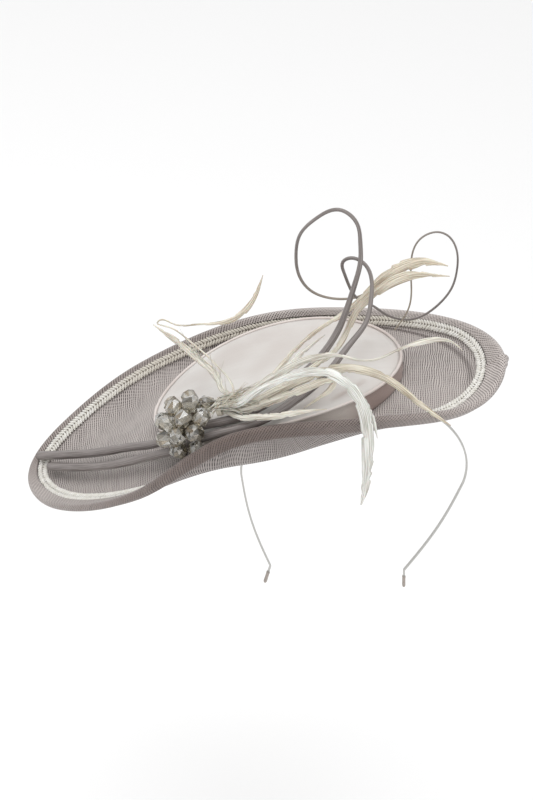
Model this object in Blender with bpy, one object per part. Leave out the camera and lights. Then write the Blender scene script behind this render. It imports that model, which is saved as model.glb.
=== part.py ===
"""Fascinator headpiece: a long oval sinamay saucer worn on a slim sprung headband.

Object frame, in metres: the origin is the inner apex of the headband, where it rests on
the head, and +Z points up through the crown of the head. The headband stands in a plane
turned BAND_YAW about Z. The saucer sits on the crown of the band, tilted so that its
long left end hangs down; everything sewn to the saucer is placed in the brim frame,
whose origin is the centre of the saucer's flat base and whose +Z is the base's normal.
"""
import math

import bmesh
import bpy
import numpy as np
from mathutils import Vector

MM = 0.001
CLEARANCE = 0.3 * MM             # gap between neighbouring pieces

# Where the saucer sits on the headband
BRIM_ORIGIN = Vector((-54.2, 0.0, -10.53)) * MM
BRIM_TILT = math.radians(24.0)   # left end down

# The saucer: a flat oval base and a rim of changing height
BASE_HALF_LENGTH = 80.0 * MM
BASE_HALF_WIDTH = 65.0 * MM
RIM_CENTRE_X = -14.0 * MM
RIM_HALF_LENGTH = 153.5 * MM
RIM_HALF_WIDTH = 72.5 * MM
RIM_BEND = 4.0 * MM              # how far the rim's two ends lean to the front
# height of the rim above the base every 30 degrees, from the right tip round the back
RIM_HEIGHTS = [z * MM for z in (-6, 2, 10, 18.5, 11.5, -3, -12, -16.5, -6.5, 23.5, 9.5, -10.5)]
WALL_POWER = 1.7                 # how late the wall turns up between base and rim
DISH_DEPTH = 8.0 * MM            # how far the two long ends are dished
SINAMAY = 1.2 * MM               # two layers of stiffened sinamay
AROUND = 60                      # stations round the saucer
WALL_RINGS = 9

# Edge wire, binding and braid
EDGE_GAP = 0.6 * MM              # what is wrapped round or sewn to the curved sinamay
WIRE_RADIUS = 0.8 * MM
BINDING_WALL = 0.8 * MM
FRONT_ROLL = 0.6 * MM            # extra radius where the front edge is rolled
# how far the binding reaches in over the upper face, every 30 degrees like the heights
BAND_WIDTHS = [w * MM for w in (10.5, 1.8, 1.6, 1.8, 2, 1.6, 2.5, 11, 12, 8, 11, 13.5)]
NARROWEST_BAND = 1.5 * MM
UNDER_WIDTH = 5.5 * MM           # and over the lower face
BRAID_GAP = 0.7 * MM
BRAID_WIDTH = 6.0 * MM
BRAID_THICKNESS = 1.2 * MM

# The oval satin button on the base
BUTTON_CENTRE = Vector((2.0, 1.0, 0.0)) * MM
BUTTON_HALF_LENGTH = 78.4 * MM
BUTTON_HALF_WIDTH = 60.0 * MM
BUTTON_SIDE_HEIGHT = 18.5 * MM   # at its long sides
BUTTON_END_DROP = 8.4 * MM       # its ends are lower, because its top is arched
BUTTON_CROWN = 2.5 * MM
SATIN = 0.8 * MM
PIPING_RADIUS = 0.8 * MM

# Felt under the base
PAD_HALF_LENGTH = 70.0 * MM
PAD_HALF_WIDTH = 50.0 * MM
FELT = 1.5 * MM
FELT_STRIP_HALF_WIDTH = 6.0 * MM
FELT_STRIP_FROM = math.radians(-46.0)    # along the band's arch, from its middle
FELT_STRIP_TO = math.radians(-8.0)

# Headband: half an ellipse over the head, then straight legs to a kink and a tip
BAND_YAW = math.radians(10.0)
BAND_HALF_WIDTH = 71.5 * MM
BAND_RISE = 55.0 * MM            # from its widest level up to the apex
BAND_THICKNESS = 1.2 * MM
BAND_WIDTH = 2.4 * MM
KINK = (43.8 * MM, -134.0 * MM)
TIP = (45.8 * MM, -148.0 * MM)
LEG_TURN = math.radians(97.0)    # where the arch runs into the straight leg
LEG_BOW = 3.0 * MM               # how far the leg bows out between arch and kink
HINGE_OFFSET = 55.0 * MM         # across the band from its middle to where a leg flexes
HINGE_TURN = math.asin(HINGE_OFFSET / BAND_HALF_WIDTH)
HINGE_GAP_TURN = 0.25 * MM / BAND_HALF_WIDTH
# tip sleeve: (share of its length, swell of its section)
SLEEVE_SWELLS = ((0.0, 0.8), (0.15, 1.0), (0.8, 1.0), (0.95, 0.75), (1.0, 0.4))
SLEEVE_HALF_THICK = 1.1 * MM
SLEEVE_HALF_WIDE = 1.6 * MM

# Crystal cluster
CLUSTER_CENTRE = Vector((-44.5, -48.0, 23.1)) * MM
CLUSTER_AXIS = Vector((0.05, -0.65, 0.75)).normalized()
CLUSTER_RADIUS = 16.8 * MM
CRYSTAL_RADIUS = 4.9 * MM
# per ring: angle from the cluster's axis, how many fit round it, turn of the ring,
# and which places stay free for the quills and the feathers
CRYSTAL_RINGS = ((0.0, 1, 0.0, ()), (38.0, 6, 0.0, ()), (78.0, 9, 0.0, (0, 8)))

# Quills: routes in the brim frame, in millimetres, from butt to tip
QUILL_FRONT = (
    (-163, 5.6, -6), (-139.5, -4.6, -4), (-115.6, -16.3, 0), (-92, -27.3, 5.5),
    (-68.6, -39.8, 12), (-46, -45.5, 20), (-27, -48, 21.8), (-7, -47, 23.2),
    (15.4, -37, 27.2), (26.2, -30.5, 30.9), (36.3, -24.5, 34.6), (45.5, -18, 39.7),
    (53.3, -12, 46.2), (61.9, -7, 57.3), (69.5, -4, 69.1), (76, -2, 81), (79.3, 0, 93),
    (80.2, 2, 105), (72.9, 4, 114.2),
    (58, 6, 111.7), (44.6, 8, 102.5), (38, 10, 89.2), (35.3, 12, 74.6), (38.3, 14, 61.9),
    (45.4, 16, 53.8), (53.6, 17, 49.6), (63.8, 18, 47.7), (69.8, 18, 49), (80.5, 18, 55.6))
QUILL_BACK = (
    (-154.8, -5.1, -9), (-134.4, -17.7, -6), (-114.3, -29.4, -2), (-90.7, -41, 4),
    (-67.8, -50, 10), (-56, -52, 11.8), (-46, -52.7, 14.9), (-36, -56.2, 18.6), (-27, -59, 21),
    (-8, -60.5, 22.4), (10, -57.5, 24.8), (25, -52.5, 28.8), (38.8, -46.5, 33),
    (51, -37.5, 38.8), (60, -28.5, 43.3), (72, -17, 50.2), (76.5, -9, 58.4),
    (78.8, -1, 66), (78.1, 4, 72.5), (74.4, 7, 77.4), (69, 8, 79.9),
    (64, 9, 78), (62.4, 10, 70), (62.6, 12, 58.1), (64.4, 14, 49.2), (71.9, 16, 40.3),
    (77.1, 18, 31.9), (84.6, 20, 25), (92, 20, 23), (101, 20, 24.5), (111.1, 20, 29.7),
    (121, 19, 39), (127, 18, 50.4), (130.3, 16, 68.2), (127.5, 15, 76.5), (122.5, 14, 80.4),
    (115.1, 14, 80), (107, 15.5, 73.5), (102.2, 16, 63.9), (99, 16, 52), (91.7, 17, 31.9),
    (79.8, 16, 20.5))
# radius along each quill: (share of its length, radius)
QUILL_FRONT_RADII = ((0, 2.9), (0.42, 2.8), (0.55, 2.1), (0.68, 1.3), (0.85, 0.95), (1, 0.55))
QUILL_BACK_RADII = ((0, 2.8), (0.36, 2.7), (0.45, 1.9), (0.52, 1.25), (0.65, 0.75), (1, 0.45))

# Feathers: name, widest half width, where along the length the blade starts, and route
STEM_HALF_WIDTH = 0.45 * MM
FEATHER_THICKNESS = 0.9 * MM
FEATHER_FACE = Vector((0.2, -0.8, 0.55))    # a blade's flat side faces forward and up
FEATHERS = (
    ("feather_left_tall", 2.6, 0.15, (
        (-26.5, -37.4, 29.4), (-22, -37.4, 29.5), (-19.2, -34.5, 30.2), (-23.3, -28, 31),
        (-25.8, -20, 34), (-33.2, -9, 39.7), (-42.6, 2, 44.4), (-52.2, 13, 49.3),
        (-59.1, 20, 52.4), (-67.2, 29, 55.4))),
    ("feather_left_curled", 2.6, 0.68, (
        (-26.5, -39.4, 29.4), (-21.8, -39.4, 29.7), (-16, -37.5, 32.2), (-16.5, -29, 35),
        (-24.5, -14, 38.5), (-35, 1, 43.6), (-47, 14.5, 50.5), (-58, 24, 54.5), (-64, 29, 56),
        (-61.5, 28.5, 57.5), (-54.5, 25, 55.5), (-37.5, 16, 55.5), (-20.4, 10, 55.8),
        (-9.8, 8, 58), (-0.2, 8, 63.3), (6.7, 10, 69.7), (14.3, 12, 80.2))),
    ("feather_right_upper", 3.0, 0.30, (
        (-26.5, -38.6, 27.4), (-22, -38.6, 27.5), (-13, -36.5, 28.2), (-2, -31, 28.6),
        (8, -22, 30.4), (17, -11.5, 33.4), (26.5, -4, 37), (39, 0.5, 41.5), (55.8, 5, 46),
        (78.1, 11, 56.8), (92.1, 12, 63.1), (101.8, 12, 64.7), (113.9, 10, 64),
        (123.9, 8, 59.7))),
    ("feather_right_middle", 3.0, 0.35, (
        (-26.5, -40.6, 27.4), (-22, -40.6, 27.5), (-8.8, -43, 27.3), (2.8, -45.5, 30.8),
        (14.5, -43, 33), (26.9, -37.5, 34.2), (39.4, -29.5, 36), (50.4, -18.5, 37.5),
        (57, -9.5, 41.5), (62.8, -4.5, 47.5), (68.6, -1.5, 52), (74.7, 0.5, 55), (81.6, 2, 57.8),
        (89.8, 2.5, 60.7), (97.5, 3, 61.9), (106, 3, 61.4), (114, 2, 59.5), (124.1, 1, 56.5))),
    ("feather_short_pale", 1.9, 0.35, (
        (-26.5, -41.4, 29.4), (-22, -41.4, 29.6), (-12, -43, 31.5), (-4.5, -43.5, 33.5),
        (5, -39.8, 34.5), (17.4, -29.8, 36.5), (30, -18, 39.5), (43.2, -9.1, 42))),
    ("feather_right_arched", 2.8, 0.45, (
        (-26.5, -42.6, 27.4), (-22, -42.7, 27.5), (-8, -47.5, 29), (7.3, -46.5, 31.5),
        (27, -46, 36.5), (52.3, -45, 38), (66.6, -44.9, 33), (78.7, -43.5, 22), (92.5, -51.5, 7.5),
        (107.8, -57.5, -9))),
    ("feather_right_slender", 2.0, 0.72, (
        (-26.5, -43.4, 29.4), (-22, -43.6, 29.6), (-10, -49, 33.6), (1, -50.5, 39.3),
        (12.8, -51, 45.1), (26.4, -51, 49.4), (40.3, -50, 51.5), (53.5, -48, 49.3),
        (63.3, -45, 41.7), (70.6, -41, 36.5), (79.2, -36, 34.3), (86.8, -31, 33.5),
        (98.2, -24, 31.1), (108.7, -18, 27.1), (116.4, -15, 21.5), (121.5, -17, 14.9))),
    ("feather_hooked", 2.4, 0.45, (
        (-26.5, -44.6, 27.4), (-22, -44.9, 27.5), (-10.3, -53, 29), (1, -57, 31.6),
        (16.4, -60, 35.8), (33, -61, 39.3), (45.6, -59.5, 40.4), (50.5, -58.5, 38.6),
        (48.4, -59.5, 35.6), (39.8, -61, 31.1), (28.4, -61, 26.2))),
    ("feather_front_drooping", 3.6, 0.30, (
        (-26.5, -45.4, 29.4), (-22.5, -45.9, 29.8), (-8.4, -56, 35.6), (5.7, -60, 43.9),
        (21.3, -63, 49.5), (34.7, -65.5, 52.5), (46, -68, 52.5), (56.4, -71, 47.6),
        (62.8, -74.5, 38.7), (65.5, -78, 25.9), (63.3, -81, 9.8), (59.2, -83, -5),
        (50, -84, -27.9), (47.3, -84, -33.1))),
    ("feather_front_low", 1.8, 0.30, (
        (-26.5, -46.6, 27.4), (-22.5, -47.2, 27.4), (-12, -58, 28.5), (1, -67, 31),
        (13.3, -73, 32.5), (27.3, -74, 32.3), (44, -72, 29))),
)


def clear_scene():
    for scene_object in list(bpy.data.objects):
        bpy.data.objects.remove(scene_object, do_unlink=True)


def material(name, colour, roughness, metallic=0.0):
    made = bpy.data.materials.new(name)
    made.use_nodes = True
    shader = made.node_tree.nodes["Principled BSDF"]
    shader.inputs["Base Color"].default_value = (*colour, 1.0)
    shader.inputs["Roughness"].default_value = roughness
    shader.inputs["Metallic"].default_value = metallic
    return made


def new_object(name, mesh, parent, finish, sharp_degrees=40.0):
    mesh.materials.append(finish)
    mesh.shade_smooth()
    mesh.set_sharp_from_angle(angle=math.radians(sharp_degrees))
    made = bpy.data.objects.new(name, mesh)
    made.parent = parent
    bpy.context.scene.collection.objects.link(made)
    return made


def frame_empty(name, location, y_turn=0.0, z_turn=0.0, parent=None):
    made = bpy.data.objects.new(name, None)
    made.location = location
    made.rotation_euler = (0.0, y_turn, z_turn)
    made.parent = parent
    bpy.context.scene.collection.objects.link(made)
    return made


# ---------------------------------------------------------------- curves and lofts

def smooth_route(points, spacing):
    """Evenly spaced points on the natural cubic spline through the given points."""
    knots = np.array([tuple(point) for point in points], dtype=float)
    steps = np.linalg.norm(np.diff(knots, axis=0), axis=1)
    places = np.concatenate(([0.0], np.cumsum(steps)))
    count = len(knots)
    system = np.zeros((count, count))
    target = np.zeros((count, 3))
    system[0, 0] = system[-1, -1] = 1.0
    for i in range(1, count - 1):
        system[i, i - 1] = steps[i - 1]
        system[i, i] = 2.0 * (steps[i - 1] + steps[i])
        system[i, i + 1] = steps[i]
        target[i] = 6.0 * ((knots[i + 1] - knots[i]) / steps[i]
                           - (knots[i] - knots[i - 1]) / steps[i - 1])
    bends = np.linalg.solve(system, target)

    def at(place):
        i = min(int(np.searchsorted(places, place, side="right")) - 1, count - 2)
        step = steps[i]
        left = (places[i + 1] - place) / step
        right = 1.0 - left
        return (left * knots[i] + right * knots[i + 1]
                + ((left ** 3 - left) * bends[i] + (right ** 3 - right) * bends[i + 1])
                * step ** 2 / 6.0)

    fine = np.array([at(place) for place in np.linspace(0.0, places[-1], 40 * count)])
    run = np.concatenate(([0.0], np.cumsum(np.linalg.norm(np.diff(fine, axis=0), axis=1))))
    stations = max(2, round(run[-1] / spacing) + 1)
    even = np.linspace(0.0, run[-1], stations)
    return [Vector([float(np.interp(place, run, fine[:, axis])) for axis in range(3)])
            for place in even]


def directions(route):
    """Unit tangents along an open route."""
    last = len(route) - 1
    return [(route[min(i + 1, last)] - route[max(i - 1, 0)]).normalized()
            for i in range(len(route))]


def turning_frames(route):
    """A side vector at each point of an open route, carried along without twist."""
    tangents = directions(route)
    side = tangents[0].orthogonal().normalized()
    sides = []
    for tangent in tangents:
        side = (side - tangent * side.dot(tangent)).normalized()
        sides.append(side.copy())
    return tangents, sides


def loft(rings, closed_path=False):
    """A closed skin over rings of equal count; open paths get a flat face at each end."""
    build = bmesh.new()
    rows = [[build.verts.new(point) for point in ring] for ring in rings]
    around = len(rows[0])
    spans = len(rows) if closed_path else len(rows) - 1
    for i in range(spans):
        low, high = rows[i], rows[(i + 1) % len(rows)]
        for j in range(around):
            k = (j + 1) % around
            build.faces.new((low[j], low[k], high[k], high[j]))
    if not closed_path:
        build.faces.new(rows[0])
        build.faces.new(rows[-1])
    bmesh.ops.recalc_face_normals(build, faces=build.faces)
    mesh = bpy.data.meshes.new("loft")
    build.to_mesh(mesh)
    build.free()
    return mesh


def ring_round(centre, side, other, half_side, half_other, count):
    """An ellipse of points in the plane of two unit vectors."""
    turns = (2.0 * math.pi * i / count for i in range(count))
    return [centre + side * (half_side * math.cos(turn)) + other * (half_other * math.sin(turn))
            for turn in turns]


def around_angles(count):
    return [2.0 * math.pi * i / count for i in range(count)]


# ---------------------------------------------------------------- the saucer

def round_curve(values, theta):
    """Catmull-Rom curve through values that stand at even steps round the saucer."""
    count = len(values)
    place = theta / (2.0 * math.pi) * count
    i = math.floor(place)
    t = place - i
    before, start, end, after = (values[(i + k) % count] for k in (-1, 0, 1, 2))
    return 0.5 * (2.0 * start + (end - before) * t
                  + (2.0 * before - 5.0 * start + 4.0 * end - after) * t ** 2
                  + (3.0 * start - before - 3.0 * end + after) * t ** 3)


def shell_point(theta, share):
    """Upper face of the sinamay: share 0 is the edge of the base and 1 is the rim."""
    base = Vector((BASE_HALF_LENGTH * math.cos(theta), BASE_HALF_WIDTH * math.sin(theta), 0.0))
    rim = Vector((RIM_CENTRE_X + RIM_HALF_LENGTH * math.cos(theta),
                  RIM_HALF_WIDTH * math.sin(theta) - RIM_BEND * math.cos(theta) ** 2, 0.0))
    point = base.lerp(rim, share)
    dish = DISH_DEPTH * math.cos(theta) ** 2 * 6.75 * share ** 2 * (1.0 - share)
    point.z = round_curve(RIM_HEIGHTS, theta) * share ** WALL_POWER - dish
    return point


def shell_normal(theta, share):
    step = 0.01
    along = shell_point(theta, share) - shell_point(theta, share - step)
    across = shell_point(theta + step, share) - shell_point(theta - step, share)
    return along.cross(across).normalized()


def share_at(theta, distance):
    """How far out on the wall a point lies that is this distance in from the rim."""
    shares = np.linspace(1.0, 0.0, 33)
    points = [shell_point(theta, share) for share in shares]
    steps = [(b - a).length for a, b in zip(points, points[1:])]
    return float(np.interp(distance, np.concatenate(([0.0], np.cumsum(steps))), shares))


def off_shell(theta, distance, height):
    """A point this far in from the rim and this far above the upper face."""
    share = share_at(theta, distance)
    return shell_point(theta, share) + shell_normal(theta, share) * height


def edge_frame(theta):
    """Centre of the edge wire, the direction out of the edge, and the face normal."""
    rim = shell_point(theta, 1.0)
    out = (rim - shell_point(theta, 0.98)).normalized()
    normal = shell_normal(theta, 1.0)
    centre = rim - normal * (SINAMAY / 2.0) + out * (WIRE_RADIUS + CLEARANCE)
    return centre, out, normal


def brim_shell(parent, finish):
    build = bmesh.new()
    shares = [i / WALL_RINGS for i in range(WALL_RINGS + 1)]
    rows = [[build.verts.new(shell_point(theta, share)) for theta in around_angles(AROUND)]
            for share in shares]
    build.faces.new(rows[0])
    for low, high in zip(rows, rows[1:]):
        for j in range(AROUND):
            k = (j + 1) % AROUND
            build.faces.new((low[j], high[j], high[k], low[k]))
    bmesh.ops.recalc_face_normals(build, faces=build.faces)
    build.faces.ensure_lookup_table()
    if build.faces[0].normal.z < 0.0:
        bmesh.ops.reverse_faces(build, faces=build.faces)
    mesh = bpy.data.meshes.new("brim_shell")
    build.to_mesh(mesh)
    build.free()
    made = new_object("brim_shell", mesh, parent, finish, 60.0)
    thicken = made.modifiers.new("sinamay", "SOLIDIFY")
    thicken.thickness = SINAMAY
    thicken.offset = -1.0
    thicken.use_even_offset = True
    return made


def rim_wire(parent, finish):
    rings = []
    for theta in around_angles(AROUND):
        centre, out, normal = edge_frame(theta)
        rings.append(ring_round(centre, out, normal, WIRE_RADIUS, WIRE_RADIUS, 6))
    return new_object("rim_wire", loft(rings, True), parent, finish)


def front_roll(theta):
    """1 at the middle of the front, 0 at the ends and the back."""
    return max(0.0, -math.sin(theta)) ** 2


def band_width(theta):
    """The binding reaches far in at the front and the right tip, and little along the back."""
    return max(NARROWEST_BAND, round_curve(BAND_WIDTHS, theta))


def rim_binding(parent, finish):
    """A bias strip folded over the edge wire: open towards the middle of the saucer."""
    rings = []
    for theta in around_angles(AROUND):
        centre, out, normal = edge_frame(theta)
        roll = front_roll(theta)
        width = band_width(theta)
        cavity = WIRE_RADIUS + EDGE_GAP
        outer = cavity + BINDING_WALL + FRONT_ROLL * roll
        lip = EDGE_GAP + BINDING_WALL
        swell = lip + 0.25 * MM + 0.5 * MM * roll
        ring = [off_shell(theta, width, lip), off_shell(theta, width / 2.0, swell)]
        for degrees in (90, 50, 0, -50, -90):
            turn = math.radians(degrees)
            ring.append(centre + out * (outer * math.cos(turn)) + normal * (outer * math.sin(turn)))
        ring.append(off_shell(theta, UNDER_WIDTH / 2.0, -SINAMAY - swell))
        ring.append(off_shell(theta, UNDER_WIDTH, -SINAMAY - lip))
        ring.append(off_shell(theta, UNDER_WIDTH, -SINAMAY - EDGE_GAP))
        ring.append(off_shell(theta, UNDER_WIDTH / 2.0, -SINAMAY - EDGE_GAP))
        for degrees in (-90, -30, 30, 90):
            turn = math.radians(degrees)
            ring.append(centre + out * (cavity * math.cos(turn)) + normal * (cavity * math.sin(turn)))
        ring.append(off_shell(theta, width / 2.0, EDGE_GAP))
        ring.append(off_shell(theta, width, EDGE_GAP))
        rings.append(ring)
    return new_object("rim_binding", loft(rings, True), parent, finish, 50.0)


def braid_trim(parent, finish):
    """An open length of braid round the inside of the binding, butted at the right tip."""
    end_turn = 0.006
    turns = around_angles(AROUND)
    turns[0] = end_turn
    turns.append(2.0 * math.pi - end_turn)
    rings = []
    for theta in turns:
        near = band_width(theta) + BRAID_GAP
        far = near + BRAID_WIDTH
        rings.append([off_shell(theta, near, EDGE_GAP), off_shell(theta, far, EDGE_GAP),
                      off_shell(theta, far, EDGE_GAP + BRAID_THICKNESS),
                      off_shell(theta, near, EDGE_GAP + BRAID_THICKNESS)])
    return new_object("braid_trim", loft(rings), parent, finish)


def felt_pad(parent, finish):
    top = -SINAMAY - CLEARANCE
    rings = []
    for height in (top, top - FELT):
        rings.append(ring_round(Vector((0.0, 0.0, height)), Vector((1.0, 0.0, 0.0)),
                                Vector((0.0, 1.0, 0.0)), PAD_HALF_LENGTH, PAD_HALF_WIDTH, 48))
    return new_object("felt_backing_pad", loft(rings), parent, finish)


# ---------------------------------------------------------------- the satin button

def button_outline(theta, inset):
    """A point on the button's outline in plan, moved in by the inset."""
    return BUTTON_CENTRE + Vector(((BUTTON_HALF_LENGTH - inset) * math.cos(theta),
                                   (BUTTON_HALF_WIDTH - inset) * math.sin(theta), 0.0))


def button_top(point, depth):
    """The height of the arched and crowned top, less a depth below its face."""
    along = (point.x - BUTTON_CENTRE.x) / BUTTON_HALF_LENGTH
    across = (point.y - BUTTON_CENTRE.y) / BUTTON_HALF_WIDTH
    crown = BUTTON_CROWN * (1.0 - along ** 2 - across ** 2)
    return BUTTON_SIDE_HEIGHT - BUTTON_END_DROP * along ** 2 + crown - depth


def dome_rows(build, inset, depth, rings, count):
    """Rows of vertices over the button's top, from the outline in to the centre."""
    rows = []
    for i in range(rings):
        row = []
        for theta in around_angles(count):
            point = BUTTON_CENTRE.lerp(button_outline(theta, inset), 1.0 - i / rings)
            point.z = button_top(point, depth)
            row.append(build.verts.new(point))
        rows.append(row)
    centre = BUTTON_CENTRE.copy()
    centre.z = button_top(centre, depth)
    rows.append([build.verts.new(centre)])
    return rows


def join_rows(build, rows):
    for low, high in zip(rows, rows[1:]):
        count = len(low)
        for j in range(count):
            k = (j + 1) % count
            if len(high) == 1:
                build.faces.new((low[j], low[k], high[0]))
            else:
                build.faces.new((low[j], low[k], high[k], high[j]))


def finish_mesh(build, name):
    bmesh.ops.recalc_face_normals(build, faces=build.faces)
    mesh = bpy.data.meshes.new(name)
    build.to_mesh(mesh)
    build.free()
    return mesh


def button_form(parent, finish):
    """The stiff core: flat below, arched above."""
    inset = SATIN + CLEARANCE
    count = 48
    build = bmesh.new()
    foot = []
    for theta in around_angles(count):
        point = button_outline(theta, inset)
        point.z = CLEARANCE
        foot.append(build.verts.new(point))
    build.faces.new(foot)
    join_rows(build, [foot] + dome_rows(build, inset, SATIN + CLEARANCE, 3, count))
    return new_object("button_form", finish_mesh(build, "button_form"), parent, finish)


def satin_top_cover(parent, finish):
    """The satin stretched over the top, as one skin with a thickness."""
    count = 60
    inset = 0.1 * MM
    build = bmesh.new()
    upper = dome_rows(build, inset, 0.0, 4, count)
    lower = dome_rows(build, inset, SATIN, 4, count)
    join_rows(build, upper)
    join_rows(build, lower)
    join_rows(build, [upper[0], lower[0]])
    return new_object("satin_top_cover", finish_mesh(build, "satin_top_cover"), parent, finish)


def satin_side_band(parent, finish):
    """The strip of satin round the button's wall."""
    rings = []
    for theta in around_angles(60):
        ring = []
        for inset, at_top in ((0.0, False), (SATIN, False), (SATIN, True), (0.0, True)):
            point = button_outline(theta, inset)
            point.z = button_top(point, SATIN + CLEARANCE) if at_top else CLEARANCE
            ring.append(point)
        rings.append(ring)
    return new_object("satin_side_band", loft(rings, True), parent, finish)


def edge_piping(parent, finish):
    rings = []
    for theta in around_angles(64):
        centre = button_outline(theta, -PIPING_RADIUS - CLEARANCE)
        centre.z = button_top(button_outline(theta, 0.0), PIPING_RADIUS)
        outward = Vector((math.cos(theta) * BUTTON_HALF_WIDTH,
                          math.sin(theta) * BUTTON_HALF_LENGTH, 0.0)).normalized()
        rings.append(ring_round(centre, outward, Vector((0.0, 0.0, 1.0)),
                                PIPING_RADIUS, PIPING_RADIUS, 6))
    return new_object("edge_piping", loft(rings, True), parent, finish)


# ---------------------------------------------------------------- crystals

def cluster_direction(polar, turn):
    """A unit vector at a polar angle from the cluster's axis, turned about it."""
    right = Vector((1.0, 0.0, 0.0))
    right = (right - CLUSTER_AXIS * right.dot(CLUSTER_AXIS)).normalized()
    upward = CLUSTER_AXIS.cross(right)
    return (CLUSTER_AXIS * math.cos(polar)
            + (right * math.cos(turn) + upward * math.sin(turn)) * math.sin(polar))


def cluster_base(parent, finish):
    """A small domed cap that the crystals are sewn to."""
    inner = CLUSTER_RADIUS - CRYSTAL_RADIUS - CLEARANCE - 1.3 * MM
    outer = CLUSTER_RADIUS - CRYSTAL_RADIUS - CLEARANCE
    polars = [math.radians(degrees) for degrees in (18, 36, 54)]
    count = 24
    build = bmesh.new()
    skins = []
    for radius in (outer, inner):
        rows = [[build.verts.new(CLUSTER_CENTRE + cluster_direction(polar, turn) * radius)
                 for turn in around_angles(count)] for polar in reversed(polars)]
        rows.append([build.verts.new(CLUSTER_CENTRE + CLUSTER_AXIS * radius)])
        join_rows(build, rows)
        skins.append(rows)
    join_rows(build, [skins[0][0], skins[1][0]])
    return new_object("cluster_base", finish_mesh(build, "cluster_base"), parent, finish)


def crystal_beads(parent, finish):
    build = bmesh.new()
    bmesh.ops.create_icosphere(build, subdivisions=2, radius=CRYSTAL_RADIUS)
    mesh = finish_mesh(build, "crystal")
    mesh.materials.append(finish)
    number = 0
    for polar, places, turned, free in CRYSTAL_RINGS:
        for place in range(places):
            if place in free:
                continue
            number += 1
            turn = math.radians(turned + 360.0 * place / places)
            bead = bpy.data.objects.new("crystal_bead_%02d" % number, mesh)
            bead.location = (CLUSTER_CENTRE
                             + cluster_direction(math.radians(polar), turn) * CLUSTER_RADIUS)
            bead.rotation_euler = (0.7 * number, 0.4 * number, 1.1 * number)
            bead.parent = parent
            bpy.context.scene.collection.objects.link(bead)


# ---------------------------------------------------------------- quills and feathers

def quill(name, route_mm, radii_mm, parent, finish):
    route = smooth_route([Vector(point) * MM for point in route_mm], 6.5 * MM)
    tangents, sides = turning_frames(route)
    shares = [share for share, _ in radii_mm]
    radii = [radius for _, radius in radii_mm]
    rings = []
    for i, (point, tangent, side) in enumerate(zip(route, tangents, sides)):
        radius = float(np.interp(i / (len(route) - 1), shares, radii)) * MM
        rings.append(ring_round(point, side, tangent.cross(side), radius, radius, 8))
    return new_object(name, loft(rings), parent, finish)


def blade_half_width(share, widest, start):
    """Thin stem, then a leaf-shaped blade that narrows to a fine tip."""
    if share <= start:
        return STEM_HALF_WIDTH
    t = (share - start) / (1.0 - start)
    leaf = math.sin(math.pi * t ** 0.8) ** 0.7 if t < 1.0 else 0.0
    return max(STEM_HALF_WIDTH * (1.0 - 0.6 * t), widest * leaf)


def feather(name, widest_mm, start, route_mm, parent, finish):
    route = smooth_route([Vector(point) * MM for point in route_mm], 7.0 * MM)
    rings = []
    for i, (point, tangent) in enumerate(zip(route, directions(route))):
        across = tangent.cross(FEATHER_FACE).normalized()
        face = across.cross(tangent)
        share = i / (len(route) - 1)
        half_width = blade_half_width(share, widest_mm * MM, start)
        rings.append(ring_round(point, across, face, half_width, FEATHER_THICKNESS / 2.0, 4))
    return new_object(name, loft(rings), parent, finish)


def stem_whipping(parent, finish):
    """Turns of thread that hold the ten feather stems side by side."""
    centre = Vector((-24.3, -42.0, 28.4)) * MM
    across = Vector((0.0, 1.0, 0.0))
    up = Vector((0.0, 0.0, 1.0))
    half_height = 2.4 * MM
    half_width = 7.0 * MM
    wall = 0.9 * MM
    half_length = 1.5 * MM
    outline = []
    for turn in around_angles(20):
        bulge = 0.6                   # between an ellipse and a rectangle
        wide = math.copysign(abs(math.cos(turn)) ** bulge, math.cos(turn))
        high = math.copysign(abs(math.sin(turn)) ** bulge, math.sin(turn))
        outline.append((wide, high))
    rings = []
    for wide, high in outline:
        inner = across * (half_width * wide) + up * (half_height * high)
        outer = across * ((half_width + wall) * wide) + up * ((half_height + wall) * high)
        lengthways = Vector((half_length, 0.0, 0.0))
        rings.append([centre + inner - lengthways, centre + outer - lengthways,
                      centre + outer + lengthways, centre + inner + lengthways])
    return new_object("stem_whipping", loft(rings, True), parent, finish)


# ---------------------------------------------------------------- headband

def band_arc(offset):
    """Inner face of the headband over the head, at an offset from its middle."""
    rise = BAND_RISE * (math.sqrt(1.0 - (offset / BAND_HALF_WIDTH) ** 2) - 1.0)
    return Vector((offset, 0.0, rise))


def strip_solid(name, middle_line, half_thick, half_wide, parent, finish):
    """A flat strip along a line in the band's plane; the line is its mid thickness."""
    wide = Vector((0.0, half_wide, 0.0))
    rings = []
    for point, tangent in zip(middle_line, directions(middle_line)):
        thick = tangent.cross(Vector((0.0, 1.0, 0.0))) * half_thick
        rings.append([point - thick - wide, point + thick - wide,
                      point + thick + wide, point - thick + wide])
    return new_object(name, loft(rings), parent, finish, 30.0)


def arch_line(start_turn, end_turn, count, grow):
    """Points on the band's elliptical arch, grown outwards by a constant."""
    points = []
    for i in range(count):
        turn = start_turn + (end_turn - start_turn) * i / (count - 1)
        points.append(Vector(((BAND_HALF_WIDTH + grow) * math.sin(turn), 0.0,
                              (BAND_RISE + grow) * math.cos(turn) - BAND_RISE)))
    return points


def leg_ends():
    """The kink and the tip on the leg's mid line."""
    half = BAND_THICKNESS / 2.0
    return Vector((KINK[0] + half, 0.0, KINK[1])), Vector((TIP[0] + half, 0.0, TIP[1]))


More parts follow.
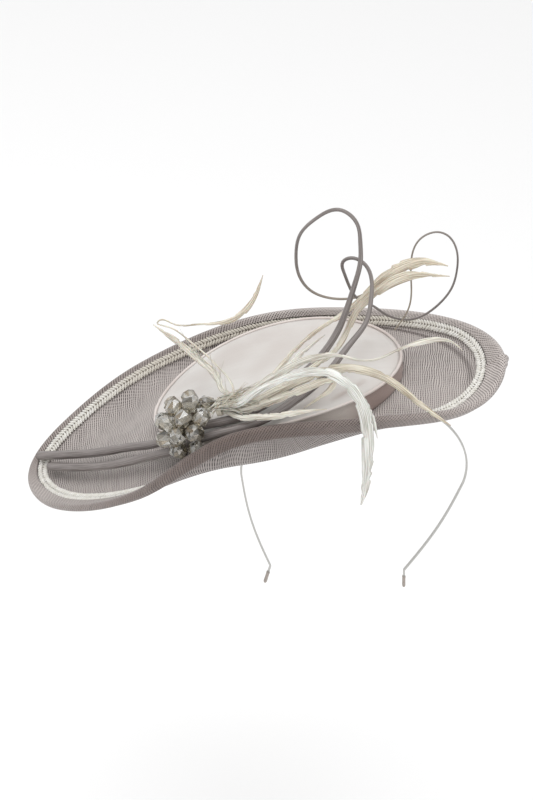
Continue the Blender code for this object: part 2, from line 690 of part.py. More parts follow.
def leg_line():
    """Mid line of the right leg: the end of the arch, a slightly bowed shin, then the tip."""
    line = arch_line(HINGE_TURN + HINGE_GAP_TURN, LEG_TURN, 9, BAND_THICKNESS / 2.0)
    kink, tip = leg_ends()
    arch_end = line[-1].copy()
    for share in (0.3, 0.65, 1.0):
        point = arch_end.lerp(kink, share)
        point.x += LEG_BOW * math.sin(math.pi * share)
        line.append(point)
    line.append(kink.lerp(tip, 0.35))
    return line


def headband_crown(parent, finish):
    half = BAND_THICKNESS / 2.0
    reach = HINGE_TURN - HINGE_GAP_TURN
    strip_solid("headband_crown", arch_line(-reach, reach, 21, half), half, BAND_WIDTH / 2.0,
                parent, finish)


def felt_band_strip(parent, finish):
    """The strip under the crown that the brim's stitches go through."""
    line = arch_line(FELT_STRIP_FROM, FELT_STRIP_TO, 9, -FELT / 2.0 - CLEARANCE)
    strip_solid("felt_band_strip", line, FELT / 2.0, FELT_STRIP_HALF_WIDTH, parent, finish)


def headband_leg(side, sign, hinge, finish):
    """One leg, in the frame of the hinge that stands for the band's flex."""
    line = [Vector((sign * point.x, 0.0, point.z)) - band_arc(sign * HINGE_OFFSET)
            for point in leg_line()]
    strip_solid("headband_leg_" + side, line, BAND_THICKNESS / 2.0, BAND_WIDTH / 2.0,
                hinge, finish)


def tip_sleeve(side, sign, hinge, finish):
    kink, tip = leg_ends()
    top = kink.lerp(tip, 0.38)
    down = (tip - top).normalized()
    out = down.cross(Vector((0.0, 1.0, 0.0)))
    rings = []
    for share, swell in SLEEVE_SWELLS:
        centre = top.lerp(tip, share)
        centre = Vector((sign * centre.x, 0.0, centre.z)) - band_arc(sign * HINGE_OFFSET)
        rings.append(ring_round(centre, Vector((sign * out.x, 0.0, out.z)),
                                Vector((0.0, 1.0, 0.0)),
                                SLEEVE_HALF_THICK * swell, SLEEVE_HALF_WIDE * swell, 10))
    new_object("tip_sleeve_" + side, loft(rings), hinge, finish)


def headband(parent, steel, plastic, felt):
    headband_crown(parent, steel)
    felt_band_strip(parent, felt)
    for side, sign in (("left", -1.0), ("right", 1.0)):
        hinge = frame_empty("hinge_" + side, band_arc(sign * HINGE_OFFSET), parent=parent)
        headband_leg(side, sign, hinge, steel)
        tip_sleeve(side, sign, hinge, plastic)


# ---------------------------------------------------------------- the whole object

def build_object():
    clear_scene()
    sinamay = material("sinamay_taupe", (0.40, 0.34, 0.32), 0.75)
    binding = material("binding_taupe", (0.30, 0.24, 0.22), 0.65)
    braid = material("gimp_braid", (0.72, 0.69, 0.63), 0.7)
    satin = material("ivory_satin", (0.66, 0.61, 0.58), 0.35)
    side_satin = material("taupe_satin", (0.36, 0.29, 0.26), 0.4)
    steel = material("coated_steel", (0.42, 0.41, 0.40), 0.35, 0.8)
    wire = material("edge_wire_steel", (0.5, 0.5, 0.5), 0.4, 1.0)
    plastic = material("tip_plastic", (0.40, 0.33, 0.30), 0.5)
    felt = material("felt_grey", (0.30, 0.27, 0.25), 0.95)
    buckram = material("buckram", (0.62, 0.58, 0.50), 0.9)
    crystal = material("smoky_crystal", (0.22, 0.20, 0.17), 0.08)
    quill_finish = material("quill_taupe", (0.24, 0.21, 0.20), 0.4)
    feather_finish = material("feather_ivory", (0.62, 0.55, 0.44), 0.8)
    thread = material("thread_ivory", (0.60, 0.55, 0.46), 0.8)

    brim = frame_empty("brim_frame", BRIM_ORIGIN, y_turn=-BRIM_TILT)
    brim_shell(brim, sinamay)
    rim_wire(brim, wire)
    rim_binding(brim, binding)
    braid_trim(brim, braid)
    felt_pad(brim, felt)
    button_form(brim, buckram)
    satin_top_cover(brim, satin)
    satin_side_band(brim, side_satin)
    edge_piping(brim, satin)
    cluster_base(brim, buckram)
    crystal_beads(brim, crystal)
    quill("quill_front", QUILL_FRONT, QUILL_FRONT_RADII, brim, quill_finish)
    quill("quill_back", QUILL_BACK, QUILL_BACK_RADII, brim, quill_finish)
    for name, widest, start, route in FEATHERS:
        feather(name, widest, start, route, brim, feather_finish)
    stem_whipping(brim, thread)

    band = frame_empty("band_frame", (0.0, 0.0, 0.0), z_turn=BAND_YAW)
    headband(band, steel, plastic, felt)


build_object()
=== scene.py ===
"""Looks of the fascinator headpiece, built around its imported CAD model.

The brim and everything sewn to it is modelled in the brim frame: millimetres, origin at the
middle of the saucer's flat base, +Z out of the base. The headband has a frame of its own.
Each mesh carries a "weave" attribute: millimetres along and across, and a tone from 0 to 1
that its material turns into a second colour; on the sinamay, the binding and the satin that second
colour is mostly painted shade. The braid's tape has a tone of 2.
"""
import math
import random

import bmesh
import bpy
import numpy as np
from mathutils import Matrix, Vector


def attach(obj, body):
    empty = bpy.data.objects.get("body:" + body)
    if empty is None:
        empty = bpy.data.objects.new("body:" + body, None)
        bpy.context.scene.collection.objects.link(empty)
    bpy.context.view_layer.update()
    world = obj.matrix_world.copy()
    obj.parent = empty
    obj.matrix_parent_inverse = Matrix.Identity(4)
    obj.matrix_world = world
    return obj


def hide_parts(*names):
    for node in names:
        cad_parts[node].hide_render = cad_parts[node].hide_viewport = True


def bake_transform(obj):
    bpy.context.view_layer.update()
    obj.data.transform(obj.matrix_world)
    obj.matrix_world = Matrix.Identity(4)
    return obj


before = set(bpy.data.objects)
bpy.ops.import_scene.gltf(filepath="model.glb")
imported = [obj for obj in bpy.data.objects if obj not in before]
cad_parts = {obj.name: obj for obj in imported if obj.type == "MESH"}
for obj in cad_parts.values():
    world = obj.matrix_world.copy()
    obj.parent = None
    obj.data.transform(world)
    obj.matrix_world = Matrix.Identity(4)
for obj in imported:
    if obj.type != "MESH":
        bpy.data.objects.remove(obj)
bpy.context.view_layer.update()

MM = 0.001
ROOT = "saucer_and_crown"

# The same driving sizes as the CAD part, in millimetres
BRIM_FRAME = Matrix.Translation(Vector((-54.2, 0.0, -10.53)) * MM) @ Matrix.Rotation(
    -math.radians(24.0), 4, "Y")
BAND_FRAME = Matrix.Rotation(math.radians(10.0), 4, "Z")
BASE_HALF_LENGTH, BASE_HALF_WIDTH = 80.0, 65.0
RIM_CENTRE_X, RIM_HALF_LENGTH, RIM_HALF_WIDTH, RIM_BEND = -14.0, 153.5, 72.5, 4.0
RIM_HEIGHTS = np.array((-6, 2, 10, 18.5, 11.5, -3, -12, -16.5, -6.5, 23.5, 9.5, -10.5))
WALL_POWER = 1.7
DISH_DEPTH = 8.0
SINAMAY = 1.2
EDGE_GAP = 0.6
WIRE_RADIUS = 0.8
BINDING_WALL = 0.8
FRONT_ROLL = 0.6
BAND_WIDTHS = np.array((10.5, 1.8, 1.6, 1.8, 2, 1.6, 2.5, 11, 12, 8, 11, 13.5))
NARROWEST_BAND = 1.5
UNDER_WIDTH = 5.5
BRAID_GAP = 0.7
BRAID_WIDTH = 6.0
BUTTON_X, BUTTON_Y = 2.0, 1.0
BUTTON_HALF_LENGTH, BUTTON_HALF_WIDTH = 78.4, 60.0
BUTTON_SIDE_HEIGHT, BUTTON_END_DROP, BUTTON_CROWN = 18.5, 8.4, 2.5
SATIN = 0.8
PIPING_RADIUS = 0.8
CLUSTER_CENTRE = np.array((-44.5, -48.0, 23.1))
CLUSTER_RADIUS = 16.8
CRYSTAL_RADIUS = 4.9
CRYSTAL_FULLNESS = 1.13  # the facets lie inside the sphere, so the corners stand out past it
CRYSTAL_RINGS = ((0.0, 1, ()), (38.0, 6, ()), (78.0, 9, (0, 8)))
STITCH_RADIUS = 0.22
BAND_HALF_WIDTH, BAND_RISE = 71.5, 55.0
BAND_THICKNESS, BAND_WIDTH = 1.2, 2.4
KINK, TIP = (43.8, -134.0), (45.8, -148.0)
LEG_TURN = math.radians(97.0)
LEG_BOW = 3.0

QUILL_FRONT = (
    (-163, 5.6, -6), (-139.5, -4.6, -4), (-115.6, -16.3, 0), (-92, -27.3, 5.5),
    (-68.6, -39.8, 12), (-46, -45.5, 20), (-27, -48, 21.8), (-7, -47, 23.2),
    (15.4, -37, 27.2), (26.2, -30.5, 30.9), (36.3, -24.5, 34.6), (45.5, -18, 39.7),
    (53.3, -12, 46.2), (61.9, -7, 57.3), (69.5, -4, 69.1), (76, -2, 81), (79.3, 0, 93),
    (80.2, 2, 105), (72.9, 4, 114.2),
    (58, 6, 111.7), (44.6, 8, 102.5), (38, 10, 89.2), (35.3, 12, 74.6), (38.3, 14, 61.9),
    (45.4, 16, 53.8), (53.6, 17, 49.6), (63.8, 18, 47.7), (69.8, 18, 49), (80.5, 18, 55.6))
QUILL_BACK = (
    (-154.8, -5.1, -9), (-134.4, -17.7, -6), (-114.3, -29.4, -2), (-90.7, -41, 4),
    (-67.8, -50, 10), (-56, -52, 11.8), (-46, -52.7, 14.9), (-36, -56.2, 18.6), (-27, -59, 21),
    (-8, -60.5, 22.4), (10, -57.5, 24.8), (25, -52.5, 28.8), (38.8, -46.5, 33),
    (51, -37.5, 38.8), (60, -28.5, 43.3), (72, -17, 50.2), (76.5, -9, 58.4),
    (78.8, -1, 66), (78.1, 4, 72.5), (74.4, 7, 77.4), (69, 8, 79.9),
    (64, 9, 78), (62.4, 10, 70), (62.6, 12, 58.1), (64.4, 14, 49.2), (71.9, 16, 40.3),
    (77.1, 18, 31.9), (84.6, 20, 25), (92, 20, 23), (101, 20, 24.5), (111.1, 20, 29.7),
    (121, 19, 39), (127, 18, 50.4), (130.3, 16, 68.2), (127.5, 15, 76.5), (122.5, 14, 80.4),
    (115.1, 14, 80), (107, 15.5, 73.5), (102.2, 16, 63.9), (99, 16, 52), (91.7, 17, 31.9),
    (79.8, 16, 20.5))
QUILL_FRONT_RADII = ((0, 2.9), (0.42, 2.8), (0.55, 2.1), (0.68, 1.3), (0.85, 0.95), (1, 0.55))
QUILL_BACK_RADII = ((0, 2.8), (0.36, 2.7), (0.45, 1.9), (0.52, 1.25), (0.65, 0.75), (1, 0.45))

# Feathers: name, tone (0 white, 1 tan), half widths as (share, mm), and route
FEATHERS = (
    ("feather_left_tall", 0.5, ((0, 0.8), (0.25, 2.0), (0.5, 2.3), (0.8, 1.8), (1, 0.15)), (
        (-26.5, -37.4, 29.4), (-22, -37.4, 29.5), (-19.2, -34.5, 30.2), (-23.3, -28, 31),
        (-25.8, -20, 34), (-33.2, -9, 39.7), (-42.6, 2, 44.4), (-52.2, 13, 49.3),
        (-59.1, 20, 52.4), (-67.2, 29, 55.4))),
    ("feather_left_curled", 0.7, ((0, 0.7), (0.3, 0.6), (0.6, 0.55), (0.7, 0.6), (0.84, 2.1),
                                  (0.93, 1.5), (1, 0.1)), (
        (-26.5, -39.4, 29.4), (-21.8, -39.4, 29.7), (-16, -37.5, 32.2), (-16.5, -29, 35),
        (-24.5, -14, 38.5), (-35, 1, 43.6), (-47, 14.5, 50.5), (-58, 24, 54.5), (-64, 29, 56),
        (-61.5, 28.5, 57.5), (-54.5, 25, 55.5), (-37.5, 16, 55.5), (-20.4, 10, 55.8),
        (-9.8, 8, 58), (-0.2, 8, 63.3), (6.7, 10, 69.7), (14.3, 12, 80.2))),
    ("feather_right_upper", 0.75, ((0, 1.1), (0.2, 1.6), (0.5, 1.3), (0.68, 2.0), (0.84, 4.0),
                                   (0.92, 2.6), (1, 0.1)), (
        (-26.5, -38.6, 27.4), (-22, -38.6, 27.5), (-13, -36.5, 28.2), (-2, -31, 28.6),
        (8, -22, 30.4), (17, -11.5, 33.4), (26.5, -4, 37), (39, 0.5, 41.5), (55.8, 5, 46),
        (78.1, 11, 56.8), (92.1, 12, 63.1), (101.8, 12, 64.7), (113.9, 10, 64),
        (123.9, 8, 59.7))),
    ("feather_right_middle", 0.7, ((0, 1.2), (0.25, 2.2), (0.5, 1.7), (0.7, 2.3), (0.84, 3.4),
                                   (0.92, 1.6), (1, 0.1)), (
        (-26.5, -40.6, 27.4), (-22, -40.6, 27.5), (-8.8, -43, 27.3), (2.8, -45.5, 30.8),
        (14.5, -43, 33), (26.9, -37.5, 34.2), (39.4, -29.5, 36), (50.4, -18.5, 37.5),
        (57, -9.5, 41.5), (62.8, -4.5, 47.5), (68.6, -1.5, 52), (74.7, 0.5, 55), (81.6, 2, 57.8),
        (89.8, 2.5, 60.7), (97.5, 3, 61.9), (106, 3, 61.4), (114, 2, 59.5), (124.1, 1, 56.5))),
    ("feather_short_pale", 0.25, ((0, 1.2), (0.4, 2.3), (0.7, 2.1), (1, 0.15)), (
        (-26.5, -41.4, 29.4), (-22, -41.4, 29.6), (-12, -43, 31.5), (-4.5, -43.5, 33.5),
        (5, -39.8, 34.5), (17.4, -29.8, 36.5), (30, -18, 39.5), (43.2, -9.1, 42))),
    ("feather_right_arched", 0.75, ((0, 1.4), (0.25, 2.6), (0.42, 3.2), (0.55, 2.8), (0.8, 2.0),
                                    (0.93, 1.3), (1, 0.15)), (
        (-26.5, -42.6, 27.4), (-22, -42.7, 27.5), (-8, -47.5, 29), (7.3, -46.5, 31.5),
        (27, -46, 36.5), (52.3, -45, 38), (66.6, -44.9, 33), (78.7, -43.5, 22), (92.5, -51.5, 7.5),
        (107.8, -57.5, -9))),
    ("feather_right_slender", 0.35, ((0, 1.4), (0.25, 2.6), (0.42, 2.6), (0.5, 1.2), (0.58, 0.7),
                                     (0.74, 0.7), (0.85, 2.0), (0.93, 1.2), (1, 0.1)), (
        (-26.5, -43.4, 29.4), (-22, -43.6, 29.6), (-10, -49, 33.6), (1, -50.5, 39.3),
        (12.8, -51, 45.1), (26.4, -51, 49.4), (40.3, -50, 51.5), (53.5, -48, 49.3),
        (63.3, -45, 41.7), (70.6, -41, 36.5), (79.2, -36, 34.3), (86.8, -31, 33.5),
        (98.2, -24, 31.1), (108.7, -18, 27.1), (116.4, -15, 21.5), (121.5, -17, 14.9))),
    ("feather_hooked", 0.6, ((0, 1.1), (0.35, 2.3), (0.6, 2.5), (0.85, 1.5), (1, 0.15)), (
        (-26.5, -44.6, 27.4), (-22, -44.9, 27.5), (-10.3, -53, 29), (1, -57, 31.6),
        (16.4, -60, 35.8), (33, -61, 39.3), (45.6, -59.5, 40.4), (50.5, -58.5, 38.6),
        (48.4, -59.5, 35.6), (39.8, -61, 31.1), (28.4, -61, 26.2))),
    ("feather_front_drooping", 0.0, ((0, 1.2), (0.25, 1.9), (0.4, 2.6), (0.6, 3.4), (0.8, 3.8),
                                     (0.93, 2.6), (1, 0.3)), (
        (-26.5, -45.4, 29.4), (-22.5, -45.9, 29.8), (-8.4, -56, 35.6), (5.7, -60, 43.9),
        (21.3, -63, 49.5), (34.7, -65.5, 52.5), (46, -68, 52.5), (56.4, -71, 47.6),
        (62.8, -74.5, 38.7), (65.5, -78, 25.9), (63.3, -81, 9.8), (59.2, -83, -5),
        (50, -84, -27.9), (47.3, -84, -33.1))),
    ("feather_front_low", 0.45, ((0, 1.1), (0.4, 2.1), (0.75, 1.8), (1, 0.15)), (
        (-26.5, -46.6, 27.4), (-22.5, -47.2, 27.4), (-12, -58, 28.5), (1, -67, 31),
        (13.3, -73, 32.5), (27.3, -74, 32.3), (44, -72, 29))),
)
FEATHER_FACE = np.array((0.2, -0.8, 0.55))


# ---------------------------------------------------------------- numbers and routes

def unit(vectors):
    return vectors / np.maximum(np.linalg.norm(vectors, axis=-1, keepdims=True), 1e-12)


def lengths(points):
    """Running length along a row of points."""
    return np.concatenate(([0.0], np.cumsum(np.linalg.norm(np.diff(points, axis=0), axis=1))))


def smooth_route(points, spacing):
    """Evenly spaced points on the natural cubic spline through the given points."""
    knots = np.array(points, dtype=float)
    places = lengths(knots)
    steps = np.diff(places)
    count = len(knots)
    system = np.eye(count)
    target = np.zeros((count, 3))
    for i in range(1, count - 1):
        system[i, i - 1:i + 2] = steps[i - 1], 2.0 * (steps[i - 1] + steps[i]), steps[i]
        target[i] = 6.0 * ((knots[i + 1] - knots[i]) / steps[i]
                           - (knots[i] - knots[i - 1]) / steps[i - 1])
    bends = np.linalg.solve(system, target)
    at = np.linspace(0.0, places[-1], 60 * count)
    i = np.clip(np.searchsorted(places, at, side="right") - 1, 0, count - 2)
    step = steps[i][:, None]
    left = (places[i + 1] - at)[:, None] / step
    right = 1.0 - left
    fine = (left * knots[i] + right * knots[i + 1]
            + ((left ** 3 - left) * bends[i] + (right ** 3 - right) * bends[i + 1])
            * step ** 2 / 6.0)
    return evenly(fine, spacing)


def evenly(line, spacing):
    """The same line with points an even distance apart."""
    run = lengths(line)
    places = np.linspace(0.0, run[-1], max(2, round(run[-1] / spacing) + 1))
    return np.stack([np.interp(places, run, line[:, axis]) for axis in range(3)], axis=1)


def carried_sides(tangents, first=None):
    """Side vectors carried along an open route without twist."""
    side = np.array(first if first is not None else Vector(tangents[0]).orthogonal())
    sides = []
    for tangent in tangents:
        side = unit(side - tangent * side.dot(tangent))
        sides.append(side)
    return np.array(sides)


def bump_at(x, centre, width):
    """A smooth hump of height 1."""
    return np.exp(-((x - centre) / width) ** 2)


def smooth_step(x, low, high):
    t = np.clip((x - low) / (high - low), 0.0, 1.0)
    return t * t * (3.0 - 2.0 * t)


# ---------------------------------------------------------------- meshes and pieces

class Stock:
    """Collects the points, faces and weave coordinates of one mesh."""

    def __init__(self):
        self.points, self.weave, self.faces = [], [], []
        self.count = 0

    def add(self, points, faces, weave=None):
        points = np.asarray(points, dtype=float).reshape(-1, 3)
        weave = points if weave is None else np.asarray(weave, dtype=float).reshape(-1, 3)
        self.points.append(points)
        self.weave.append(weave)
        self.faces.extend([tuple(self.count + k for k in face) for face in faces])
        self.count += len(points)

    def mesh(self, name, material, place=BRIM_FRAME, smooth=True):
        """The collected mesh, moved from its own frame into the object's."""
        made = bpy.data.meshes.new(name)
        made.from_pydata((np.concatenate(self.points) * MM).tolist(), [], self.faces)
        attribute = made.attributes.new("weave", "FLOAT_VECTOR", "POINT")
        attribute.data.foreach_set("vector", np.concatenate(self.weave).astype(np.float32).ravel())
        work = bmesh.new()
        work.from_mesh(made)
        bmesh.ops.recalc_face_normals(work, faces=work.faces)
        work.to_mesh(made)
        work.free()
        made.transform(place)
        if smooth:
            made.shade_smooth()
        made.materials.append(material)
        return made


def grid_faces(rows, columns, wrap_columns=True, wrap_rows=False):
    faces = []
    for i in range(rows if wrap_rows else rows - 1):
        for j in range(columns if wrap_columns else columns - 1):
            k = (j + 1) % columns
            low, high = i * columns, ((i + 1) % rows) * columns
            faces.append((low + j, low + k, high + k, high + j))
    return faces


def lids(rows, columns):
    """Flat ends on the first and the last ring."""
    return [tuple(range(columns)), tuple(range((rows - 1) * columns, rows * columns))]


def two_skins(rows, columns, rim, centre):
    """Faces of an upper and a lower skin of rings, joined at one ring and closed at another."""
    first = rows * columns
    faces = grid_faces(rows, columns)
    faces += [tuple(first + k for k in reversed(face)) for face in grid_faces(rows, columns)]
    low = rim * columns
    for j in range(columns):
        k = (j + 1) % columns
        faces.append((low + j, low + k, first + low + k, first + low + j))
    for start in (centre * columns, first + centre * columns):
        faces.append(tuple(range(start, start + columns)))
    return faces


def sweep(centres, sides, ups, outline, closed=False):
    """Rings of an outline (one for all, or one per station) set across a route."""
    outline = np.asarray(outline, dtype=float)
    if outline.ndim == 2:
        outline = np.broadcast_to(outline, (len(centres),) + outline.shape)
    points = (centres[:, None] + sides[:, None] * outline[..., :1] + ups[:, None] * outline[..., 1:])
    rows, columns = outline.shape[:2]
    faces = grid_faces(rows, columns, wrap_rows=closed)
    if not closed:
        faces += lids(rows, columns)
    return points.reshape(-1, 3), faces


def circle(count, radius=1.0):
    turns = 2.0 * math.pi * np.arange(count) / count
    return np.stack((np.cos(turns), np.sin(turns)), axis=1) * radius


def tube(route, radii, count=8, first=None):
    """A round tube along an open route, with weave (along, round, 0)."""
    tangents = unit(np.gradient(route, axis=0))
    sides = carried_sides(tangents, first)
    radii = np.broadcast_to(np.asarray(radii, dtype=float), (len(route),))
    outline = circle(count)[None] * radii[:, None, None]
    points, faces = sweep(route, sides, np.cross(tangents, sides), outline)
    along = np.repeat(lengths(route), count)
    around = np.tile(np.arange(count) / count, len(route))
    return points, faces, np.stack((along, around, along * 0.0), axis=1)


def piece(name, mesh, nodes, body=ROOT, place=None):
    """Adds a mesh that is already in the object's frame, or is put there by a place of its own."""
    made = bpy.data.objects.new(name, mesh)
    bpy.context.scene.collection.objects.link(made)
    if place is not None:
        made.matrix_world = place
    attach(made, body)
    finish_piece(nodes)
    return made


def finish_piece(nodes):
    if nodes:
        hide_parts(*nodes)


# ---------------------------------------------------------------- node materials

class Finish:
    """A procedural material: a Principled shader and helpers that add nodes to it."""

    def __init__(self, name, **sockets):
        self.material = bpy.data.materials.new(name)
        self.material.use_nodes = True
        self.tree = self.material.node_tree
        self.shader = self.tree.nodes["Principled BSDF"]
        for socket, value in sockets.items():
            self.shader.inputs[socket.replace("_", " ")].default_value = value

    def put(self, target, value):
        if isinstance(value, bpy.types.NodeSocket):
            self.tree.links.new(value, target)
        else:
            target.default_value = value

    def add(self, kind, *inputs, out=0, **settings):
        node = self.tree.nodes.new(kind)
        for key, value in settings.items():
            setattr(node, key, value)
        for i, value in enumerate(inputs):
            if value is not None:
                self.put(node.inputs[i], value)
        return node.outputs[out]

    def math(self, operation, *inputs):
        return self.add("ShaderNodeMath", *inputs, operation=operation)

    def times(self, first, second):
        return self.math("MULTIPLY", first, second)

    def plus(self, first, second):
        return self.math("ADD", first, second)

    def mix(self, factor, first, second):
        node = self.tree.nodes.new("ShaderNodeMix")
        node.data_type = "RGBA"
        self.put(node.inputs[0], factor)
        self.put(node.inputs[6], first if isinstance(first, bpy.types.NodeSocket) else rgba(first))
        self.put(node.inputs[7], second if isinstance(second, bpy.types.NodeSocket) else rgba(second))
        return node.outputs[2]

    def noise(self, vector, scale, detail=2.0, roughness=0.5):
        return self.add("ShaderNodeTexNoise", vector, None, scale, detail, roughness)

    def streaks(self, along, across, detail=3.0):
        """Noise stretched along the weave: each direction is given with its own scale."""
        return self.noise(self.vector(self.times(*along), self.times(*across)), 1.0, detail)

    def weave(self):
        """The weave attribute's three numbers."""
        node = self.tree.nodes.new("ShaderNodeAttribute")
        node.attribute_name = "weave"
        parts = self.tree.nodes.new("ShaderNodeSeparateXYZ")
        self.tree.links.new(node.outputs["Vector"], parts.inputs[0])
        return parts.outputs[0], parts.outputs[1], parts.outputs[2]

    def place(self):
        """Place on the piece, in millimetres."""
        where = self.add("ShaderNodeTexCoord", out=3)
        return self.add("ShaderNodeVectorMath", where, (1000.0, 1000.0, 1000.0),
                        operation="MULTIPLY")

    def vector(self, x, y, z=0.0):
        return self.add("ShaderNodeCombineXYZ", x, y, z)

    def steps(self, value, low, high):
        """0 below low, 1 above high, smooth between."""
        return self.add("ShaderNodeMapRange", value, low, high, 0.0, 1.0,
                        interpolation_type="SMOOTHSTEP")

    def colour(self, value):
        self.put(self.shader.inputs["Base Color"], value)

    def roughness(self, value):
        self.put(self.shader.inputs["Roughness"], value)

    def bump(self, height, millimetres, strength=1.0):
        node = self.tree.nodes.new("ShaderNodeBump")
        node.inputs["Strength"].default_value = strength
        node.inputs["Distance"].default_value = millimetres * MM
        self.tree.links.new(height, node.inputs["Height"])
        self.tree.links.new(node.outputs[0], self.shader.inputs["Normal"])


def srgb(red, green, blue):
    """Linear colour of a display colour from 0 to 255."""
    values = [c / 255.0 for c in (red, green, blue)]
    return tuple(c / 12.92 if c <= 0.04045 else ((c + 0.055) / 1.055) ** 2.4 for c in values)


def rgba(colour):
    return (*colour, 1.0) if len(colour) == 3 else colour


# ---------------------------------------------------------------- materials

def woven(name, light, dark, hole_shade, pitches, cross_weight, turn, wobble, roughness):
    """Open woven straw cloth: light threads one way, finer ones the other, and holes painted dark as
    shade.
    """
    across_pitch, along_pitch = pitches
    made = Finish(name, Roughness=roughness, Sheen_Weight=0.15, Sheen_Roughness=0.5)
    along, across, tone = made.weave()
    drift = made.noise(made.vector(along, across), 0.09, 2.0)
    drift = made.times(made.math("SUBTRACT", drift, 0.5), wobble)
    cos, sin = math.cos(turn), math.sin(turn)
    u = made.plus(made.times(along, cos), made.times(across, sin))
    v = made.math("SUBTRACT", made.times(across, cos), made.times(along, sin))
    u = made.plus(u, drift)
    v = made.plus(v, drift)
    wave_u = made.math("ABSOLUTE", made.math("SINE", made.times(u, math.pi / across_pitch)))
    wave_v = made.math("ABSOLUTE", made.math("SINE", made.times(v, math.pi / along_pitch)))
    streak = made.streaks((u, 1.1), (v, 0.06), 2.0)
    cross_streak = made.streaks((u, 0.05), (v, 1.3), 2.0)
    thread_u = made.steps(made.plus(wave_u, made.times(streak, 0.6)), 0.62, 1.15)
    thread_v = made.steps(made.plus(wave_v, made.times(cross_streak, 0.6)),
                          0.75, 1.3)
    height = made.math("MAXIMUM", thread_u, made.times(thread_v, cross_weight))
    # painted shade: each thread is painted lighter at its crest and darker lower down
    shade = made.times(height, made.plus(made.times(streak, 0.7), 0.65))
    # the holes between the threads are painted dark, as shade seen through them
    base = made.mix(made.steps(height, 0.05, 0.75), hole_shade, made.mix(shade, dark, light))
    patches = made.noise(made.place(), 0.02, 3.0)
    worn = made.mix(made.steps(patches, 0.35, 0.7), base, made.mix(0.35, base, light))
    # painted shade colour, used where the tone is set: the crease inside the braid, the brim's
    # underside and the binding's front roll
    shaded_weave = made.mix(made.math("POWER", shade, 1.5), hole_shade, made.mix(0.94, light, dark))
    made.colour(made.mix(tone, worn, shaded_weave))
    made.bump(height, 0.35)
    return made.material


def gimp_material():
    made = Finish("gimp_cord", Roughness=0.5, Sheen_Weight=0.3, Sheen_Roughness=0.4)
    along, across, tone = made.weave()
    twist = made.math("SINE", made.times(made.plus(along, across), 9.0))
    spots = made.noise(made.place(), 0.35, 2.0)
    base = made.mix(made.steps(spots, 0.3, 0.7), srgb(232, 230, 222), srgb(250, 249, 246))
    base = made.mix(tone, base, srgb(216, 208, 194))
    base = made.mix(made.steps(tone, 1.4, 1.6), base, srgb(150, 138, 128))
    # painted shade: the grooves of the twist are darker
    made.colour(made.mix(made.steps(twist, -1.0, -0.4), srgb(206, 200, 188), base))
    made.bump(twist, 0.12)
    return made.material


def satin_material(name, colour, shade, roughness, crease):
    """Smooth satin: fine crosswise floats, broad tone drift and faint pulls; where the tone is set, the
    crease colour is painted in as shade.
    """
    made = Finish(name, Roughness=roughness, Sheen_Weight=0.25, Sheen_Roughness=0.35)
    along, across, tone = made.weave()
    drift = made.noise(made.place(), 0.018, 2.0)
    pulls = made.streaks((along, 0.03), (across, 0.22))
    base = made.mix(made.steps(drift, 0.35, 0.65), colour, shade)
    base = made.mix(made.times(made.steps(pulls, 0.45, 0.75), 0.35), base, shade)
    # painted shade: the tone turns the colour to the darker crease colour
    made.colour(made.mix(tone, base, crease))
    floats = made.math("SINE", made.times(along, 18.0))
    grain = made.noise(made.place(), 2.6, 2.0)
    made.roughness(made.plus(made.times(grain, 0.16), roughness - 0.08))
    made.bump(made.plus(made.times(floats, 0.5),
                        made.times(pulls, 3.0)), 0.06)
    return made.material


def quill_material():
    made = Finish("stripped_quill", Roughness=0.42, Coat_Weight=0.25, Coat_Roughness=0.3)
    along, around, tone = made.weave()
    streaks = made.streaks((along, 0.05), (around, 16.0))
    flecks = made.streaks((along, 0.6), (around, 24.0), 2.0)
    base = made.mix(made.steps(streaks, 0.3, 0.7), srgb(96, 88, 85), srgb(142, 135, 132))
    base = made.mix(made.times(made.steps(flecks, 0.62, 0.72), 0.5), base,
                    srgb(70, 62, 59))
    made.colour(made.mix(tone, base, srgb(176, 163, 141)))
    made.bump(made.plus(streaks, made.times(flecks, 0.3)), 0.12)
    return made.material


def feather_material():
    made = Finish("biot_feather", Roughness=0.55, Sheen_Weight=0.2, Sheen_Roughness=0.5,
                  Subsurface_Weight=0.08, Subsurface_Scale=0.002)
    along, across, tone = made.weave()
    slant = made.plus(made.times(made.math("ABSOLUTE", across), 3.2),
                      made.times(along, -0.35))
    barbs = made.streaks((along, 0.06), (across, 2.4))
    ridges = made.math("SINE", made.times(slant, 4.0))
    lit = made.steps(barbs, 0.32, 0.66)
    white = made.mix(lit, srgb(168, 166, 156), srgb(240, 240, 235))
    tan = made.mix(lit, srgb(150, 130, 98), srgb(226, 215, 190))
    made.colour(made.mix(tone, white, tan))
    made.bump(made.plus(made.times(ridges, 0.25), barbs), 0.18)
    return made.material


def crystal_material():
    """Smoky glass with painted reflections: each facet is painted a tone of its own, as a reflection of
    another part of the room, some white as painted glints and some gold.
    """
    made = Finish("smoky_crystal", Roughness=0.02, IOR=1.6, Transmission_Weight=0.75,
                  Coat_Weight=1.0, Coat_Roughness=0.01)
    facing = made.add("ShaderNodeTexCoord", out=1)
    facet_reflection = made.noise(facing, 3.1, 0.0)
    gold_reflection = made.noise(facing, 1.7, 0.0)
    # painted reflections: per facet a dark or light smoky tone, then white painted glints
    smoke_and_reflections = made.mix(made.steps(facet_reflection, 0.36, 0.46), srgb(80, 74, 60), srgb(188, 182, 166))
    smoke_and_reflections = made.mix(made.steps(facet_reflection, 0.54, 0.6), smoke_and_reflections, srgb(252, 251, 247))
    # painted reflection: some facets are turned half way to gold
    made.colour(made.mix(made.times(made.steps(gold_reflection, 0.6, 0.66), 0.5), smoke_and_reflections,
                         srgb(190, 160, 112)))
    return made.material


